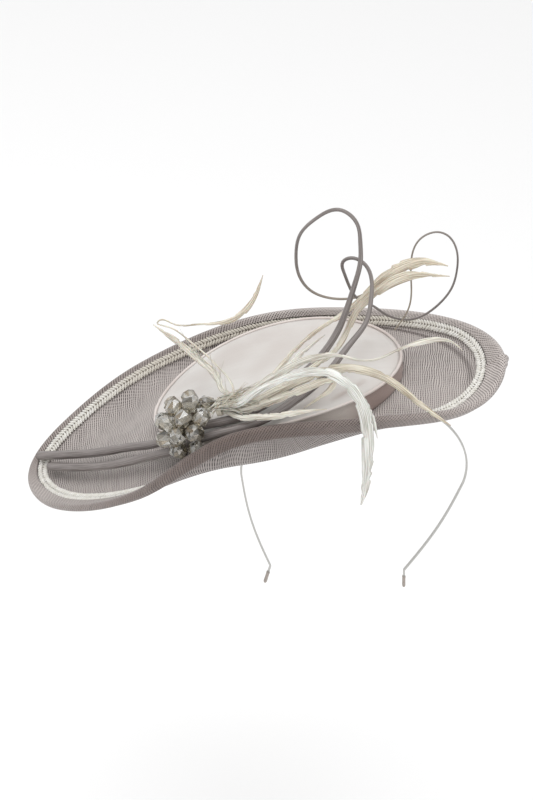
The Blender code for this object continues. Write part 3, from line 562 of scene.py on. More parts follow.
def coated_steel():
    made = Finish("coated_band", Roughness=0.35, Metallic=0.55, Coat_Weight=0.2)
    grain = made.noise(made.place(), 1.5, 2.0)
    made.colour(made.mix(grain, srgb(176, 175, 172), srgb(200, 199, 195)))
    made.roughness(made.plus(made.times(grain, 0.2), 0.28))
    made.bump(grain, 0.02)
    return made.material


def plain_grain(name, dark, light, roughness, scale, relief, **sockets):
    """A matt surface with a fibrous or moulded grain."""
    made = Finish(name, Roughness=roughness, **sockets)
    grain = made.noise(made.place(), scale, 4.0, 0.65)
    made.colour(made.mix(made.steps(grain, 0.3, 0.7), dark, light))
    made.bump(grain, relief)
    return made.material


SINAMAY_FINISH = woven("sinamay", srgb(186, 178, 174), srgb(106, 96, 93), srgb(46, 37, 34),
                       (1.36, 1.7), 0.6, 0.0, 3.0, 0.6)
BINDING_FINISH = woven("bias_sinamay", srgb(194, 186, 182), srgb(104, 88, 81), srgb(52, 39, 34),
                       (1.3, 1.6), 0.75, math.radians(45.0), 0.8, 0.55)
GIMP_FINISH = gimp_material()
SATIN_FINISH = satin_material("ivory_satin", srgb(214, 211, 207), srgb(200, 193, 188), 0.36,
                              srgb(176, 161, 153))
SIDE_FINISH = satin_material("taupe_satin", srgb(214, 206, 200), srgb(198, 188, 181), 0.42,
                             srgb(158, 140, 134))
PIPING_FINISH = satin_material("piping_satin", srgb(222, 214, 209), srgb(206, 194, 188), 0.4,
                               srgb(190, 174, 167))
QUILL_FINISH = quill_material()
FEATHER_FINISH = feather_material()
CRYSTAL_FINISH = crystal_material()
STEEL_FINISH = coated_steel()
SLEEVE_FINISH = plain_grain("soft_sleeve", srgb(150, 140, 133), srgb(176, 167, 160), 0.5, 1.2, 0.03)
FELT_FINISH = plain_grain("pressed_felt", srgb(132, 122, 117), srgb(168, 158, 153), 0.95, 1.1, 0.25,
                          Sheen_Weight=0.3)
BUCKRAM_FINISH = plain_grain("buckram", srgb(120, 110, 102), srgb(158, 147, 138), 0.9, 0.9, 0.3)
THREAD_FINISH = plain_grain("sewing_thread", srgb(196, 188, 172), srgb(226, 220, 206), 0.7, 2.2, 0.1)
WIRE_FINISH = plain_grain("edge_wire", srgb(120, 120, 120), srgb(150, 150, 150), 0.4, 1.0, 0.02,
                          Metallic=1.0)


# ---------------------------------------------------------------- the saucer's shape

def round_curve(values, theta):
    """Catmull-Rom curve through values that stand at even steps round the saucer."""
    count = len(values)
    at = np.asarray(theta) / (2.0 * math.pi) * count
    i = np.floor(at).astype(int)
    t = at - i
    before, start, end, after = (values[(i + k) % count] for k in (-1, 0, 1, 2))
    return 0.5 * (2.0 * start + (end - before) * t
                  + (2.0 * before - 5.0 * start + 4.0 * end - after) * t ** 2
                  + (3.0 * start - before - 3.0 * end + after) * t ** 3)


def shell(theta, share):
    """Upper face of the sinamay: share 0 is the edge of the base and 1 is the rim."""
    theta, share = np.broadcast_arrays(np.asarray(theta, float), np.asarray(share, float))
    cos, sin = np.cos(theta), np.sin(theta)
    x = BASE_HALF_LENGTH * cos * (1 - share) + (RIM_CENTRE_X + RIM_HALF_LENGTH * cos) * share
    y = BASE_HALF_WIDTH * sin * (1 - share) + (RIM_HALF_WIDTH * sin - RIM_BEND * cos ** 2) * share
    dish = DISH_DEPTH * cos ** 2 * 6.75 * share ** 2 * (1.0 - share)
    return np.stack((x, y, round_curve(RIM_HEIGHTS, theta) * share ** WALL_POWER - dish), axis=-1)


def shell_normal(theta, share):
    step = 0.01
    inner = np.maximum(share, step) - step
    outward = shell(theta, inner + step) - shell(theta, inner)
    around = shell(np.asarray(theta) + step, share) - shell(np.asarray(theta) - step, share)
    return unit(np.cross(outward, around))


def share_at(theta, distance):
    """How far out on the wall a point lies that is this distance in from the rim."""
    shares = np.linspace(1.0, 0.0, 41)
    lines = shell(np.asarray(theta)[:, None], shares[None])
    distance = np.broadcast_to(distance, (len(lines),))
    return np.array([np.interp(d, lengths(line), shares) for d, line in zip(distance, lines)])


def off_shell(theta, distance, height):
    """Points this far in from the rim and this far above the upper face."""
    share = share_at(theta, distance)
    height = np.broadcast_to(height, (len(share),))
    return shell(theta, share) + shell_normal(theta, share) * height[:, None]


def edge_frame(theta):
    """Centre of the edge wire, the direction out of the edge, and the face normal."""
    rim = shell(theta, 1.0)
    out = unit(rim - shell(theta, 0.98))
    normal = shell_normal(theta, np.ones_like(theta))
    return rim - normal * (SINAMAY / 2.0) + out * (WIRE_RADIUS + 0.3), out, normal


def front_roll(theta):
    """1 at the middle of the front, 0 at the ends and the back."""
    return np.maximum(0.0, -np.sin(theta)) ** 2


def band_width(theta):
    """The binding reaches far in at the front and the right tip, and little along the back."""
    return np.maximum(NARROWEST_BAND, round_curve(BAND_WIDTHS, theta))


def round_the_rim(spacing, distance, start=0.0, end=2.0 * math.pi):
    """Angles whose points at this distance in from the rim are evenly spaced."""
    theta = np.linspace(start, end, 721)
    run = lengths(off_shell(theta, distance(theta), 0.0))
    count = round(run[-1] / spacing)
    return np.interp(np.linspace(0.0, run[-1], count + 1), run, theta)


# ---------------------------------------------------------------- brim, binding, braid

def crease_reach(theta):
    """1 along the back of the right end, where a crease runs inside the braid."""
    return smooth_step(np.cos(theta - 0.75), 0.55, 0.8)


def brim_relief(theta, share):
    """Small lifts of the cloth: a crease inside the braid and soft waves in the wall."""
    crease = bump_at(share, 0.70, 0.03) * crease_reach(theta)
    waves = 0.35 * np.sin(3.0 * theta + 6.0 * share) * np.sin(math.pi * (1.0 - share))
    return crease + waves * (1.0 - share) ** 0.5


def woven_brim():
    """The blocked oval of sinamay, both faces, with its rim closed."""
    columns = 360
    theta = 2.0 * math.pi * np.arange(columns) / columns
    upper, normals, weave = [], [], []
    for reach in np.linspace(0.04, 0.96, 14):
        ring = shell(theta, 0.0) * (reach, reach, 0.0)
        upper.append(ring)
        normals.append(np.broadcast_to((0.0, 0.0, 1.0), ring.shape))
        weave.append(ring)
    outward = shell(theta, 1.0) - shell(theta, 0.0)
    outward[:, 2] = 0.0
    outward = unit(outward)
    run, before = np.zeros(columns), shell(theta, 0.0)
    wall_shares = np.linspace(0.0, 1.0, 41)
    for share in wall_shares:
        ring = shell(theta, share)
        run = run + np.linalg.norm(ring - before, axis=1)
        before = ring
        normal = shell_normal(theta, np.full(columns, share))
        lift = brim_relief(theta, share) * smooth_step(share, 0.0, 0.15)
        upper.append(ring + normal * lift[:, None])
        normals.append(normal)
        weave.append(shell(theta, 0.0) * (1.0, 1.0, 0.0) + outward * run[:, None])
    upper, normals, weave = np.array(upper), np.array(normals), np.array(weave)
    weave[..., 2] = 0.0
    # painted shade: the tone darkens the sinamay along the crease inside the braid
    weave[-len(wall_shares):, :, 2] = 0.75 * bump_at(wall_shares, 0.665, 0.03)[:, None] * (
        crease_reach(theta))
    lower = upper - normals * SINAMAY
    rows = len(upper)
    faces = two_skins(rows, columns, rim=rows - 1, centre=0)
    stock = Stock()
    # painted shade: the whole underside gets a darker tone
    under = weave.copy()
    under[..., 2] = 0.45
    stock.add(np.concatenate((upper.reshape(-1, 3), lower.reshape(-1, 3))), faces,
              np.concatenate((weave.reshape(-1, 3), under.reshape(-1, 3))))
    made = piece("woven_brim", stock.mesh("woven_brim", SINAMAY_FINISH),
                 ["brim_shell"])


def binding_ring(theta, lift):
    """Outlines of the folded strip: outer face from its inner edge round the wire, then back."""
    centre, out, normal = edge_frame(theta)
    roll = front_roll(theta)
    back_left = 0.55 * smooth_step(np.cos(theta - math.radians(140.0)), 0.5, 0.9)
    width = band_width(theta)
    cavity = WIRE_RADIUS + EDGE_GAP - 0.2
    outer = WIRE_RADIUS + EDGE_GAP + BINDING_WALL + FRONT_ROLL * roll + lift
    lip = EDGE_GAP + BINDING_WALL + lift
    reaches = (1.0, 0.96, 0.8, 0.6, 0.4, 0.2)
    ring, tones = [], []

    def height(reach):
        """Height above the sinamay: swollen near the edge and turned under at the strip's own."""
        swell = (0.35 + 0.6 * roll) * math.sin(math.pi * (1.0 - reach) ** 0.7)
        return lip + swell - 0.35 * smooth_step(reach, 0.93, 1.0)

    # Tones: painted shade darkens the front roll, a little on its upper face and most on its lower
    # outer side, underneath and inside; the tone is also raised along the back-left.
    for reach in reaches:
        ring.append(off_shell(theta, width * reach, height(reach)))
        tones.append(roll * 0.2 + back_left)
    for degrees in range(80, -81, -20):
        turn = math.radians(degrees)
        ring.append(centre + (out * math.cos(turn) + normal * math.sin(turn)) * outer[:, None])
        tones.append(roll * (0.3 + 0.7 * smooth_step(-degrees, -70.0, -30.0)) + back_left)
    for reach in reversed(reaches):
        ring.append(off_shell(theta, UNDER_WIDTH * reach, -SINAMAY - height(reach)))
        tones.append(roll)
    for reach in (1.0, 0.5):
        ring.append(off_shell(theta, UNDER_WIDTH * reach, -SINAMAY - EDGE_GAP + 0.2))
        tones.append(roll)
    for degrees in (-90, -45, 0, 45, 90):
        turn = math.radians(degrees)
        ring.append(centre + (out * math.cos(turn) + normal * math.sin(turn)) * cavity)
        tones.append(roll)
    for reach in (0.5, 1.0):
        ring.append(off_shell(theta, width * reach, np.full(len(theta), EDGE_GAP - 0.2)))
        tones.append(roll)
    return np.stack(ring, axis=1), np.stack(tones, axis=1)


def bias_binding():
    """The strip is folded over the wired edge; its end laps over its start at the right tip."""
    overlap = 0.055
    theta = np.linspace(-0.02, 2.0 * math.pi + overlap - 0.02, 700)
    lap = smooth_step(theta, 2.0 * math.pi - 0.09, 2.0 * math.pi - 0.03)
    hem = bump_at(theta, theta[-1] - 0.008, 0.012)
    rings, tones = binding_ring(theta, 1.05 * lap + 0.9 * hem)
    rows, columns = rings.shape[:2]
    faces = grid_faces(rows, columns) + lids(rows, columns)
    along = np.broadcast_to(lengths(shell(theta, 1.0))[:, None], (rows, columns))
    across = np.array([lengths(ring) for ring in rings])
    stock = Stock()
    stock.add(rings, faces, np.stack((along, across, tones), axis=-1))
    made = piece("bias_binding", stock.mesh("bias_binding", BINDING_FINISH),
                 ["rim_binding"])


def leaf_template(around=8):
    """A plump leaf of thread: half length, half width and half height are all 1."""
    rows = [(-1.0, 0.0), (-0.72, 0.62), (-0.2, 1.0), (0.4, 0.92), (0.85, 0.5), (1.0, 0.0)]
    points = [(-1.0, 0.0, 0.0)]
    for x, radius in rows[1:-1]:
        for turn in 2.0 * math.pi * np.arange(around) / around:
            points.append((x, radius * math.cos(turn), radius * math.sin(turn)))
    points.append((1.0, 0.0, 0.0))
    faces = [(0, 1 + (j + 1) % around, 1 + j) for j in range(around)]
    faces += [tuple(1 + k for k in face) for face in grid_faces(len(rows) - 2, around)]
    last = len(points) - 1
    faces += [(last, last - around + j, last - around + (j + 1) % around) for j in range(around)]
    return np.array(points), faces


def braid_middle(theta):
    return band_width(theta) + BRAID_GAP + BRAID_WIDTH / 2.0


def gimp_braid():
    """Two rows of slanted leaves of thread on a tape, like an ear of wheat, butted at the tip."""
    pitch = 2.1
    butt = 0.006
    theta = round_the_rim(pitch, braid_middle, butt, 2.0 * math.pi - butt)
    share = share_at(theta, braid_middle(theta))
    centres = shell(theta, share)
    normals = shell_normal(theta, share)
    forward = unit(np.gradient(centres, axis=0))
    inward = unit(np.cross(normals, forward))
    tone = 0.8 * smooth_step(np.sin(theta), 0.55, 0.95)
    stock = Stock()
    half = BRAID_WIDTH / 2.0 - 0.3
    tape = [(-half, EDGE_GAP + 0.05), (half, EDGE_GAP + 0.05),
            (half, EDGE_GAP + 0.55), (-half, EDGE_GAP + 0.55)]
    points, faces = sweep(centres, inward, normals, tape)
    weave = np.repeat(np.stack((theta * 0.0, theta * 0.0, 2.0 + theta * 0.0), axis=1), 4, axis=0)
    stock.add(points, faces, weave)
    leaf, leaf_faces = leaf_template()
    draw = random.Random(11)
    for side in (-1.0, 1.0):
        for i, centre in enumerate(centres):
            slant = unit(inward[i] * side * 1.0 + forward[i] * 0.85)
            width = np.cross(normals[i], slant)
            size = 1.0 + draw.uniform(-0.08, 0.08)
            at = (centre + inward[i] * side * 1.5 + forward[i] * draw.uniform(-0.12, 0.12)
                  + normals[i] * (EDGE_GAP + 0.95 + draw.uniform(-0.06, 0.06)))
            points = (at + slant * (leaf[:, :1] * 2.3 * size) + width * (leaf[:, 1:2] * 0.9 * size)
                      + normals[i] * (leaf[:, 2:] * 0.75))
            weave = np.stack((leaf[:, 0] * 1.6, leaf[:, 1] * 0.5,
                              np.full(len(leaf), tone[i])), axis=1)
            stock.add(points, leaf_faces, weave)
    piece("gimp_braid", stock.mesh("gimp_braid", GIMP_FINISH), ["braid_trim"])


# ---------------------------------------------------------------- the satin button

# Soft creases in the satin: from, to (x, y in plan), half width, height
CREASES = (
    ((-72.0, 8.0), (-38.0, -2.0), 3.2, 0.55), ((-70.0, -4.0), (-44.0, -16.0), 2.6, -0.5),
    ((-62.0, 22.0), (-20.0, 14.0), 5.0, 0.4), ((-30.0, 38.0), (20.0, 30.0), 6.0, 0.35),
    ((30.0, -46.0), (52.0, -26.0), 3.0, 0.7), ((40.0, -44.0), (62.0, -24.0), 2.4, -0.6),
    ((6.0, -56.0), (34.0, -40.0), 3.0, 0.6), ((-40.0, -40.0), (-8.0, -50.0), 4.0, 0.4),
    ((50.0, 34.0), (70.0, 12.0), 3.5, 0.35), ((10.0, 52.0), (44.0, 44.0), 4.0, 0.3))


def crease_height(x, y):
    """Height of the satin's soft creases above its smooth dome."""
    total = np.zeros_like(x)
    for (x0, y0), (x1, y1), width, height in CREASES:
        dx, dy = x1 - x0, y1 - y0
        along = np.clip(((x - x0) * dx + (y - y0) * dy) / (dx * dx + dy * dy), 0.0, 1.0)
        away = np.hypot(x - x0 - along * dx, y - y0 - along * dy)
        total += 1.6 * height * bump_at(away, 0.0, width) * np.sin(math.pi * along) ** 0.5
    return total


def button_top(x, y, depth=0.0):
    """The arched and crowned top of the button, less a depth below its face."""
    along = (x - BUTTON_X) / BUTTON_HALF_LENGTH
    across = (y - BUTTON_Y) / BUTTON_HALF_WIDTH
    crown = BUTTON_CROWN * (1.0 - along ** 2 - across ** 2)
    return BUTTON_SIDE_HEIGHT - BUTTON_END_DROP * along ** 2 + crown - depth


def outline_xy(theta, inset):
    return (BUTTON_X + (BUTTON_HALF_LENGTH - inset) * np.cos(theta),
            BUTTON_Y + (BUTTON_HALF_WIDTH - inset) * np.sin(theta))


def satin_cover():
    """The satin stretched over the top, with a rolled edge that meets the piping."""
    columns, rows = 240, 40
    theta = 2.0 * math.pi * np.arange(columns) / columns
    upper, lower = [], []
    for reach in 1.0 - np.linspace(0.0, 0.985, rows) ** 1.1:
        x, y = outline_xy(theta, 0.1)
        x = BUTTON_X + (x - BUTTON_X) * reach
        y = BUTTON_Y + (y - BUTTON_Y) * reach
        inner = smooth_step(1.0 - reach, 0.0, 0.06)
        lift = crease_height(x, y) * inner - 0.6 * (1.0 - inner) ** 2
        z = button_top(x, y)
        upper.append(np.stack((x, y, z + 0.15 + lift), axis=1))
        lower.append(np.stack((x, y, z - SATIN + 0.1 + np.minimum(lift, 0.0)), axis=1))
    points = np.concatenate(upper + lower)
    faces = two_skins(rows, columns, rim=0, centre=rows - 1)
    # painted shade: the troughs of the creases are darker
    tone = np.clip(-crease_height(points[:, 0], points[:, 1]) * 0.7, 0.0, 1.0)
    stock = Stock()
    stock.add(points, faces, np.stack((points[:, 0], points[:, 1], tone), axis=1))
    made = piece("satin_cover", stock.mesh("satin_cover", SATIN_FINISH),
                 ["satin_top_cover"])


def satin_wall():
    """The strip of satin round the button's wall, gathered a little at its foot."""
    columns = 480
    theta = 2.0 * math.pi * np.arange(columns) / columns
    rows = []
    for skin, inset in ((1.0, 0.0), (-1.0, SATIN)):
        shares = np.linspace(0.0, 1.0, 12)
        for share in shares if skin > 0 else shares[::-1]:
            gather = np.sin(23.0 * theta + 2.0 * np.sin(5.0 * theta)) * (1.0 - share) ** 1.5
            pull = np.sin(9.0 * theta + 1.3) * np.sin(math.pi * share)
            swell = 0.35 * math.sin(math.pi * share)
            x, y = outline_xy(theta, inset - swell - 0.22 * gather - 0.2 * pull)
            top = button_top(x, y, SATIN + 0.3)
            rows.append(np.stack((x, y, 0.3 + (top - 0.3) * share), axis=1))
    points = np.stack(rows, axis=0)
    height = points[..., 2]
    # the wall is darker on its right side, and painted shade darkens its foot where it meets the brim
    right_side = smooth_step(np.cos(theta - math.radians(350.0)), 0.7, 0.88)
    tone = np.clip(right_side[None] + smooth_step(4.0 - height, 0.0, 4.0) * 0.35, 0.0, 1.0)
    girth = np.broadcast_to(theta * 70.0, height.shape)
    stock = Stock()
    stock.add(points, grid_faces(len(rows), columns, wrap_rows=True),
              np.stack((girth, height, tone), axis=-1))
    made = piece("satin_wall", stock.mesh("satin_wall", SIDE_FINISH),
                 ["satin_side_band"])


def piping_cord():
    """Satin-covered cord round the top edge, with the seam of its cover turned inwards."""
    columns = 400
    theta = 2.0 * math.pi * np.arange(columns) / columns
    x, y = outline_xy(theta, -PIPING_RADIUS - 0.3)
    edge_x, edge_y = outline_xy(theta, 0.0)
    centres = np.stack((x, y, button_top(edge_x, edge_y, PIPING_RADIUS - 0.35)), axis=1)
    outward = unit(np.stack((np.cos(theta) * BUTTON_HALF_WIDTH,
                             np.sin(theta) * BUTTON_HALF_LENGTH, theta * 0.0), axis=1))
    ups = np.broadcast_to((0.0, 0.0, 1.0), outward.shape)
    radius = (PIPING_RADIUS + 0.15) * (1.0 + 0.03 * np.sin(37.0 * theta) + 0.02 * np.sin(91.0 * theta))
    outline = circle(12)[None] * radius[:, None, None]
    points, faces = sweep(centres, outward, ups, outline, closed=True)
    turn = np.tile(np.arange(12) / 2.0, columns)
    weave = np.stack((np.repeat(theta * 70.0, 12), turn, turn * 0.0), axis=1)
    stock = Stock()
    stock.add(points, faces, weave)
    piece("piping_cord", stock.mesh("piping_cord", PIPING_FINISH), ["edge_piping"])


# ---------------------------------------------------------------- crystals

def cluster_direction(polar, turn):
    axis = unit(np.array((0.05, -0.65, 0.75)))
    right = unit(np.array((1.0, 0.0, 0.0)) - axis * axis[0])
    upward = np.cross(axis, right)
    return axis * math.cos(polar) + (right * math.cos(turn) + upward * math.sin(turn)) * math.sin(polar)


def faceted_bead():
    """A fire-polished bead: rows of flat facets turned half a step, with a thread hole."""
    around = 8
    hole = 0.13
    polars = (math.asin(hole), 0.5, 1.02, math.pi - 1.02, math.pi - 0.5,
              math.pi - math.asin(hole))
    stock = Stock()
    points = []
    for row, (polar, swell) in enumerate(zip(polars, (0.97, 0.99, 1.03, 1.03, 0.99, 0.97))):
        for j in range(around):
            turn = 2.0 * math.pi * (j + 0.5 * (row % 2)) / around
            points.append((math.sin(polar) * math.cos(turn) * swell,
                           math.sin(polar) * math.sin(turn) * swell, math.cos(polar) * swell))
    faces = []
    for row in range(len(polars) - 1):
        for j in range(around):
            k = (j + 1) % around
            low, high = row * around, (row + 1) * around
            if row % 2 == 0:
                faces += [(low + j, high + j, low + k), (low + k, high + j, high + k)]
            else:
                faces += [(low + j, high + j, high + k), (low + j, high + k, low + k)]
    last = (len(polars) - 1) * around
    faces += [(j, (j + 1) % around, last + (j + 1) % around, last + j) for j in range(around)]
    stock.add(np.array(points) * CRYSTAL_RADIUS * CRYSTAL_FULLNESS, faces)
    return stock.mesh("faceted_bead", CRYSTAL_FINISH, Matrix(), smooth=False)


def crystals():
    mesh = faceted_bead()
    number = 0
    draw = random.Random(5)
    for polar, places, free in CRYSTAL_RINGS:
        for place in range(places):
            if place in free:
                continue
            number += 1
            turn = 2.0 * math.pi * place / places
            centre = CLUSTER_CENTRE + cluster_direction(math.radians(polar), turn) * CLUSTER_RADIUS
            lean = Matrix.Rotation(draw.uniform(0.0, 3.1), 4, "X") @ Matrix.Rotation(
                draw.uniform(0.0, 3.1), 4, "Y")
            size = Matrix.Scale(draw.uniform(0.98, 1.07), 4)
            at = BRIM_FRAME @ Matrix.Translation(Vector(centre) * MM) @ lean @ size
            piece("crystal_%02d" % number, mesh, ["crystal_bead_%02d" % number],
                  place=at)


# ---------------------------------------------------------------- quills and feathers

def quill(name, node, route_mm, radii_mm):
    """A stripped quill: slightly flattened, grooved along one side, cut off at the butt."""
    route = smooth_route(route_mm, 1.6)
    shares = np.linspace(0.0, 1.0, len(route))
    radii = np.interp(shares, *zip(*radii_mm))
    tangents = unit(np.gradient(route, axis=0))
    sides = carried_sides(tangents, (0.0, 0.35, 1.0))
    others = np.cross(tangents, sides)
    count = 18
    turns = 2.0 * math.pi * np.arange(count) / count
    groove = 1.0 - 0.2 * bump_at(np.minimum(turns, 2.0 * math.pi - turns), 0.0, 0.42)
    outline = np.stack((np.cos(turns) * groove, np.sin(turns) * groove * 1.04), axis=1)
    uneven = 1.0 + 0.015 * np.sin(shares * 190.0) + 0.02 * np.sin(shares * 61.0)
    outline = outline[None] * (radii * uneven)[:, None, None]
    points, faces = sweep(route, sides, others, outline)
    along = np.repeat(lengths(route), count)
    around = np.tile(np.abs(np.sin(turns / 2.0)), len(route))
    tone = np.repeat(smooth_step(shares, 0.80, 1.0) * 0.55, count)
    faces = faces[:-2]
    faces.append(tuple(range((len(route) - 1) * count, len(route) * count)))
    pith = []
    for scale, depth in ((0.62, 0.0), (0.55, 2.2)):
        pith.append(route[0] + tangents[0] * depth + (points[:count] - route[0]) * scale)
    first = len(points)
    points = np.concatenate((points, pith[0], pith[1]))
    for low, high in ((0, first), (first, first + count)):
        for j in range(count):
            k = (j + 1) % count
            faces.append((low + j, low + k, high + k, high + j))
    faces.append(tuple(range(first + count, first + 2 * count)))
    weave = np.stack((along, around, tone), axis=1)
    inner = np.stack((np.zeros(2 * count), np.zeros(2 * count), np.full(2 * count, 0.9)), axis=1)
    stock = Stock()
    stock.add(points, faces, np.concatenate((weave, inner)))
    piece(name, stock.mesh(name, QUILL_FINISH), [node])


def splits(shares, draw, count, depth):
    """Notches where a blade's edge has come apart: it narrows slowly, then springs back."""
    cut = np.zeros_like(shares)
    for _ in range(count):
        at = draw.uniform(0.2, 0.97)
        size = draw.uniform(0.4, 1.0) * depth
        reach = draw.uniform(0.02, 0.05)
        near = np.clip(1.0 - (at - shares) / reach, 0.0, 1.0) * (shares <= at)
        cut = np.maximum(cut, size * near)
    return 1.0 - cut


def blade(stock, route, half_widths, tone, draw, notches=9, camber=0.22):
    """One flat blade with a raised midrib; its edges curve down and are slightly split."""
    shares = np.linspace(0.0, 1.0, len(route))
    tangents = unit(np.gradient(route, axis=0))
    across = unit(np.cross(tangents, FEATHER_FACE))
    up = np.cross(across, tangents)
    width = np.interp(shares, *zip(*half_widths))
    width = np.convolve(np.pad(width, 4, mode="edge"), np.ones(9) / 9.0, mode="valid")
    left, right = splits(shares, draw, notches, 0.5), splits(shares, draw, notches, 0.5)
    twist = 0.25 * np.sin(shares * draw.uniform(3.0, 6.0) + draw.uniform(0.0, 6.0))
    lateral = (-1.0, -0.66, -0.33, -0.1, 0.0, 0.1, 0.33, 0.66, 1.0)
    thick = 0.16
    columns = []
    for face in (1.0, -1.0):
        for x in lateral if face > 0 else lateral[::-1]:
            edge = np.where(x < 0, left, right)
            rib = 0.26 * bump_at(x, 0.0, 0.12) * np.clip(width, 0.3, 1.0)
            z = -camber * width * x * x + face * (thick * (1.0 - 0.6 * abs(x)) + rib * 0.7)
            z = z + twist * width * x
            columns.append(route + across * (width * x * edge)[:, None] + up * z[:, None])
    points = np.stack(columns, axis=1)
    count = points.shape[1]
    faces = grid_faces(len(route), count) + lids(len(route), count)
    sideways = np.array(lateral + lateral[::-1])[None] * width[:, None]
    along = np.broadcast_to(lengths(route)[:, None], sideways.shape)
    tones = np.broadcast_to(tone * (0.55 + 0.45 * shares)[:, None], sideways.shape)
    stock.add(points, faces, np.stack((along, sideways, tones), axis=-1))


def hairs(stock, route, tone, draw, count=16):
    """Loose barbs that stand off from the foot of a blade."""
    tangents = unit(np.gradient(route, axis=0))
    across = unit(np.cross(tangents, FEATHER_FACE))
    steps = np.linspace(0.0, 1.0, 14)[:, None]
    for _ in range(count):
        start = int(len(route) * draw.uniform(0.1, 0.5))
        reach = draw.uniform(14.0, 34.0)
        spread = draw.uniform(0.08, 0.42)
        line = (route[start] + tangents[start] * reach * steps
                + across[start] * reach * spread * steps ** 1.4
                + np.array((0.0, 0.0, 2.5)) * steps * (1.0 - steps))
        points, faces, weave = tube(line, 0.3 * (1.0 - 0.8 * steps[:, 0]), 5)
        weave[:, 2] = tone
        stock.add(points, faces, weave)


# The second barb of the drooping feather, which leaves the main blade half way
SPLIT_BARB = ((50.0, -68.8, 48.4), (60.0, -71.5, 43.5), (66.0, -74.0, 32.0), (68.5, -76.0, 18.0),
              (68.0, -78.0, 6.0))
SPLIT_BARB_WIDTHS = ((0, 1.0), (0.35, 1.9), (0.75, 1.7), (1, 0.1))


def feathers():
    for name, tone, half_widths, route_mm in FEATHERS:
        draw = random.Random(name)
        route = smooth_route(route_mm, 1.1)
        stock = Stock()
        blade(stock, route, half_widths, tone, draw)
        if name == "feather_left_tall":
            hairs(stock, route, 0.3, draw)
        if name == "feather_front_drooping":
            blade(stock, smooth_route(SPLIT_BARB, 1.1), SPLIT_BARB_WIDTHS, tone, draw)
        piece(name.replace("feather", "biot"), stock.mesh(name, FEATHER_FINISH),
              [name])


def root_down():
    """Soft barbs that curl over the whipping: towards the fan, and back between the crystals."""
    draw = random.Random(21)
    stock = Stock()
    steps = np.linspace(0.0, 1.0, 10)[:, None]
    for i in range(84):
        back = i % 4 == 0
        start = np.array((draw.uniform(-28.0, -16.0), draw.uniform(-50.0, -37.5),
                          draw.uniform(31.0, 32.8)))
        heading = np.array((draw.uniform(-0.9, -0.3) if back else draw.uniform(0.4, 1.0),
                            draw.uniform(-1.0, -0.2) if back else draw.uniform(-0.7, 0.5),
                            draw.uniform(-0.3, 0.1) if back else draw.uniform(0.0, 0.25)))
        reach = draw.uniform(6.0, 11.0) if back else draw.uniform(12.0, 26.0)
        curl = np.array((draw.uniform(-0.2, 0.2), draw.uniform(-0.2, 0.2),
                         draw.uniform(-0.4, 0.1)))
        line = start + (unit(heading) * steps + curl * steps ** 2) * reach
        points, faces, weave = tube(line, 0.42 * (1.0 - 0.8 * steps[:, 0]), 4)
        weave[:, 2] = draw.uniform(0.1, 0.7)
        stock.add(points, faces, weave)
    piece("root_down", stock.mesh("root_down", FEATHER_FINISH), [])


def whipping():
    """Waxed thread wound seven times round the bundle of feather stems."""
    turns, per_turn = 7, 44
    centre = np.array((-24.3, -42.0, 28.4))
    angle = 2.0 * math.pi * np.arange(turns * per_turn + 1) / per_turn
    wide = np.sign(np.cos(angle)) * np.abs(np.cos(angle)) ** 0.6 * 7.45
    high = np.sign(np.sin(angle)) * np.abs(np.sin(angle)) ** 0.6 * 2.85
    x = -1.5 + 3.0 * np.arange(len(angle)) / (len(angle) - 1)
    route = centre + np.stack((x, wide, high), axis=1)
    stock = Stock()
    stock.add(*tube(evenly(route, 0.8), 0.32, 6))
    piece("thread_whipping", stock.mesh("thread_whipping", THREAD_FINISH),
          ["stem_whipping"])


# ---------------------------------------------------------------- felt and headband

def felt_pad():
    """The oval felt under the base, with softened edges and a row of stitches round it."""
    columns = 200
    theta = 2.0 * math.pi * np.arange(columns) / columns
    rows = []
    for reach, z in ((0.02, -1.5), (0.6, -1.5), (0.97, -1.52), (0.993, -1.75), (1.0, -2.2),
                     (0.995, -2.7), (0.975, -2.98), (0.94, -3.0), (0.925, -2.85), (0.91, -3.0),
                     (0.6, -3.02), (0.3, -3.0), (0.02, -3.0)):
        ripple = 0.06 * np.sin(11.0 * theta) * (z < -2.9)
        rows.append(np.stack((70.0 * reach * np.cos(theta), 50.0 * reach * np.sin(theta),
                              z + ripple), axis=1))
    faces = grid_faces(len(rows), columns) + lids(len(rows), columns)
    stock = Stock()
    stock.add(np.array(rows), faces)
    made = piece("felt_underlay", stock.mesh("felt_underlay", FELT_FINISH),
                 ["felt_backing_pad"])
    stitches = Stock()
    for turn in np.arange(0.0, 2.0 * math.pi, 0.07):
        steps = np.linspace(-1.0, 1.0, 7)
        around = turn + steps * 0.02
        line = np.stack((70.0 * 0.925 * np.cos(around), 50.0 * 0.925 * np.sin(around),
                         -2.72 - 0.35 * (1.0 - steps ** 2)), axis=1)
        stitches.add(*tube(line, STITCH_RADIUS, 5))
    sewn = piece("felt_stitches", stitches.mesh("felt_stitches", THREAD_FINISH), [])


def arch(turns, grow):
    return np.stack(((BAND_HALF_WIDTH + grow) * np.sin(turns), turns * 0.0,
                     (BAND_RISE + grow) * np.cos(turns) - BAND_RISE), axis=1)


def mid_point(inner):
    """A point of the leg's mid line, from the point beside it on the inner face."""
    return np.array((inner[0] + BAND_THICKNESS / 2.0, 0.0, inner[1]))


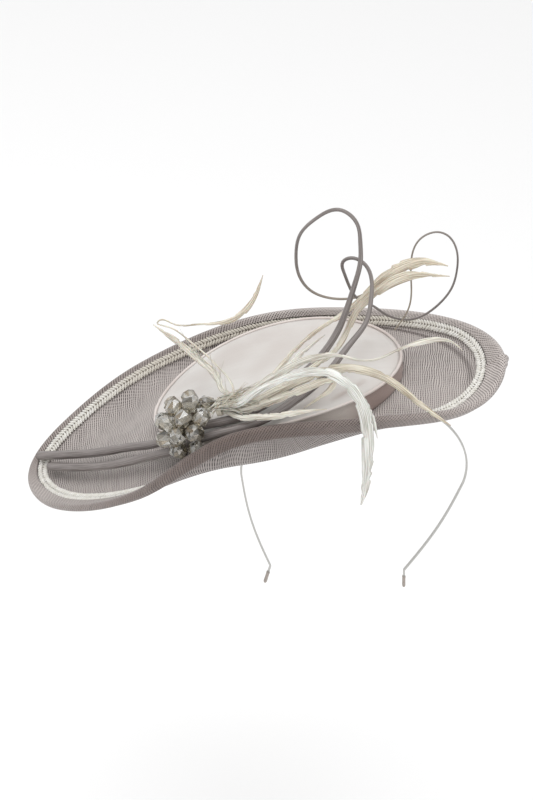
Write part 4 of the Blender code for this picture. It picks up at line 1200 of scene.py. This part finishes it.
def half_band_line():
    """Mid line of the right half: from the crown's middle to where the tip sleeve covers it."""
    line = list(arch(np.linspace(0.0, LEG_TURN, 60), BAND_THICKNESS / 2.0))
    kink, tip = mid_point(KINK), mid_point(TIP)
    end = line[-1]
    for share in np.linspace(0.06, 1.0, 26):
        point = end + (kink - end) * share
        point[0] += LEG_BOW * math.sin(math.pi * share)
        line.append(point)
    line.append(kink + (tip - kink) * 0.18)
    line.append(kink + (tip - kink) * 0.35)
    return np.array(line)


def rounded_strip(half_thick, half_wide, corner):
    """A strip's section with rounded edges."""
    points = []
    for x, y, start in ((1, 1, 0.0), (-1, 1, 90.0), (-1, -1, 180.0), (1, -1, 270.0)):
        for degrees in (0.0, 45.0, 90.0):
            turn = math.radians(start + degrees)
            points.append((x * (half_thick - corner) + corner * math.cos(turn),
                           y * (half_wide - corner) + corner * math.sin(turn)))
    return points


def strip_along(line, outline):
    tangents = unit(np.gradient(line, axis=0))
    flat = np.broadcast_to((0.0, 1.0, 0.0), line.shape)
    return sweep(line, np.cross(tangents, flat), flat, outline)


def headband():
    line = half_band_line()
    for side, sign in (("left", -1.0), ("right", 1.0)):
        mirrored = line * (sign, 1.0, 1.0)
        stock = Stock()
        points, faces = strip_along(mirrored, rounded_strip(BAND_THICKNESS / 2.0,
                                                            BAND_WIDTH / 2.0, 0.45))
        stock.add(points, faces)
        mesh = stock.mesh("band_half_" + side, STEEL_FINISH, BAND_FRAME)
        made = bpy.data.objects.new("band_half_" + side, mesh)
        bpy.context.scene.collection.objects.link(made)
        leg = "leg_" + side
        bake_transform(made)
        finish_piece(["headband_leg_" + side, "headband_crown"])
        tip_sleeve(side, sign, leg)


def tip_sleeve(side, sign, leg):
    """A dipped soft tip: it starts with a small bead and ends rounded."""
    kink, tip = mid_point(KINK), mid_point(TIP)
    shares = np.array((0.34, 0.36, 0.40, 0.44, 0.5, 0.65, 0.85, 0.93, 0.97, 0.995, 1.0))
    swell = np.array((0.66, 0.92, 1.06, 1.0, 0.96, 0.97, 1.02, 0.95, 0.8, 0.5, 0.15))
    line = (kink + (tip - kink) * shares[:, None]) * (sign, 1.0, 1.0)
    outline = circle(20) * (1.1, 1.6)
    outline = outline[None] * swell[:, None, None]
    tangents = np.broadcast_to(unit(line[-1] - line[0]), line.shape)
    flat = np.broadcast_to((0.0, 1.0, 0.0), line.shape)
    points, faces = sweep(line, np.cross(tangents, flat), flat, outline)
    stock = Stock()
    stock.add(points, faces)
    piece("soft_tip_" + side, stock.mesh("soft_tip_" + side, SLEEVE_FINISH, BAND_FRAME),
          ["tip_sleeve_" + side], leg)


def felt_strip():
    """The felt under the crown, with softened edges and the stitches that hold the saucer."""
    turns = np.linspace(math.radians(-46.0), math.radians(-8.0), 40)
    line = arch(turns, -1.05)
    stock = Stock()
    points, faces = strip_along(line, rounded_strip(0.75, 6.0, 0.5))
    stock.add(points, faces)
    made = piece("felt_tape", stock.mesh("felt_tape", FELT_FINISH, BAND_FRAME),
                 ["felt_band_strip"])
    stitches = Stock()
    for turn in turns[2:-2:3]:
        for side in (-1.0, 1.0):
            near = arch(np.array((turn, turn + 0.012)), -1.9)
            ends = np.array(((0.0, side * 3.0, 0.0), (0.0, side * 5.2, 0.0)))
            steps = np.linspace(0.0, 1.0, 7)[:, None]
            line = near[0] + ends[0] + (near[1] + ends[1] - near[0] - ends[0]) * steps
            line[:, 2] += 0.3 - 0.45 * np.sin(math.pi * steps[:, 0])
            stitches.add(*tube(line, STITCH_RADIUS, 5))
    sewn = piece("tape_stitches", stitches.mesh("tape_stitches", THREAD_FINISH, BAND_FRAME),
                 [])


# ---------------------------------------------------------------- frame nodes that stay

def hidden_nodes():
    """The inner pieces keep their CAD shape and get their own finish."""
    for node, finish in (("rim_wire", WIRE_FINISH), ("button_form", BUCKRAM_FINISH),
                         ("cluster_base", BUCKRAM_FINISH)):
        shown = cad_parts[node]
        shown.data.materials.clear()
        shown.data.materials.append(finish)


# ---------------------------------------------------------------- stage, light and camera

def stage():
    floor = bpy.data.meshes.new("floor")
    half = 6.0
    low = -0.42
    floor.from_pydata([(-half, -half, low), (half, -half, low), (half, half, low),
                       (-half, half, low)], [], [(0, 1, 2, 3)])
    pale = Finish("pale_floor", Roughness=0.9)
    pale.colour((0.93, 0.93, 0.93, 1.0))
    floor.materials.append(pale.material)
    made = bpy.data.objects.new("floor", floor)
    bpy.context.scene.collection.objects.link(made)


def area_light(name, place, aim, size, power):
    data = bpy.data.lights.new(name, "AREA")
    data.shape = "DISK"
    data.size = size
    data.energy = power
    made = bpy.data.objects.new(name, data)
    made.location = place
    made.rotation_euler = (Vector(aim) - Vector(place)).to_track_quat("-Z", "Y").to_euler()
    bpy.context.scene.collection.objects.link(made)


def lights():
    world = bpy.data.worlds.new("studio")
    world.use_nodes = True
    world.node_tree.nodes["Background"].inputs["Color"].default_value = (1.0, 1.0, 1.0, 1.0)
    world.node_tree.nodes["Background"].inputs["Strength"].default_value = 0.9
    bpy.context.scene.world = world
    area_light("top_softbox", (-0.3, -0.2, 1.6), (0.0, 0.0, 0.0), 1.4, 13.0)
    area_light("front_fill", (0.3, -1.6, 0.5), (0.0, 0.0, 0.0), 1.0, 2.5)
    bpy.context.scene.view_settings.view_transform = "Standard"


def camera():
    """33 degrees above the brim's long side, rolled 8 degrees, 1.25 m away."""
    elevation, roll = math.radians(33.0), math.radians(8.0)
    ahead = Vector((0.0, math.cos(elevation), -math.sin(elevation)))
    rise = Vector((0.0, math.sin(elevation), math.cos(elevation)))
    right = Vector((1.0, 0.0, 0.0)) * math.cos(roll) + rise * math.sin(roll)
    up = rise * math.cos(roll) - Vector((1.0, 0.0, 0.0)) * math.sin(roll)
    distance, pixel = 1.25, 0.00062
    target = BRIM_FRAME.translation - right * (11.5 * pixel) - up * pixel
    data = bpy.data.cameras.new("camera")
    data.sensor_width = 36.0
    data.lens = 36.0 * distance / (800.0 * pixel)
    data.clip_start, data.clip_end = 0.05, 50.0
    made = bpy.data.objects.new("camera", data)
    turn = Matrix((right, up, -ahead)).transposed()
    made.matrix_world = Matrix.Translation(target - ahead * distance) @ turn.to_4x4()
    bpy.context.scene.collection.objects.link(made)
    bpy.context.scene.camera = made


woven_brim()
bias_binding()
gimp_braid()
satin_cover()
satin_wall()
piping_cord()
crystals()
quill("quill_front_stripped", "quill_front", QUILL_FRONT, QUILL_FRONT_RADII)
quill("quill_back_stripped", "quill_back", QUILL_BACK, QUILL_BACK_RADII)
feathers()
root_down()
whipping()
felt_pad()
headband()
felt_strip()
hidden_nodes()
stage()
lights()
camera()
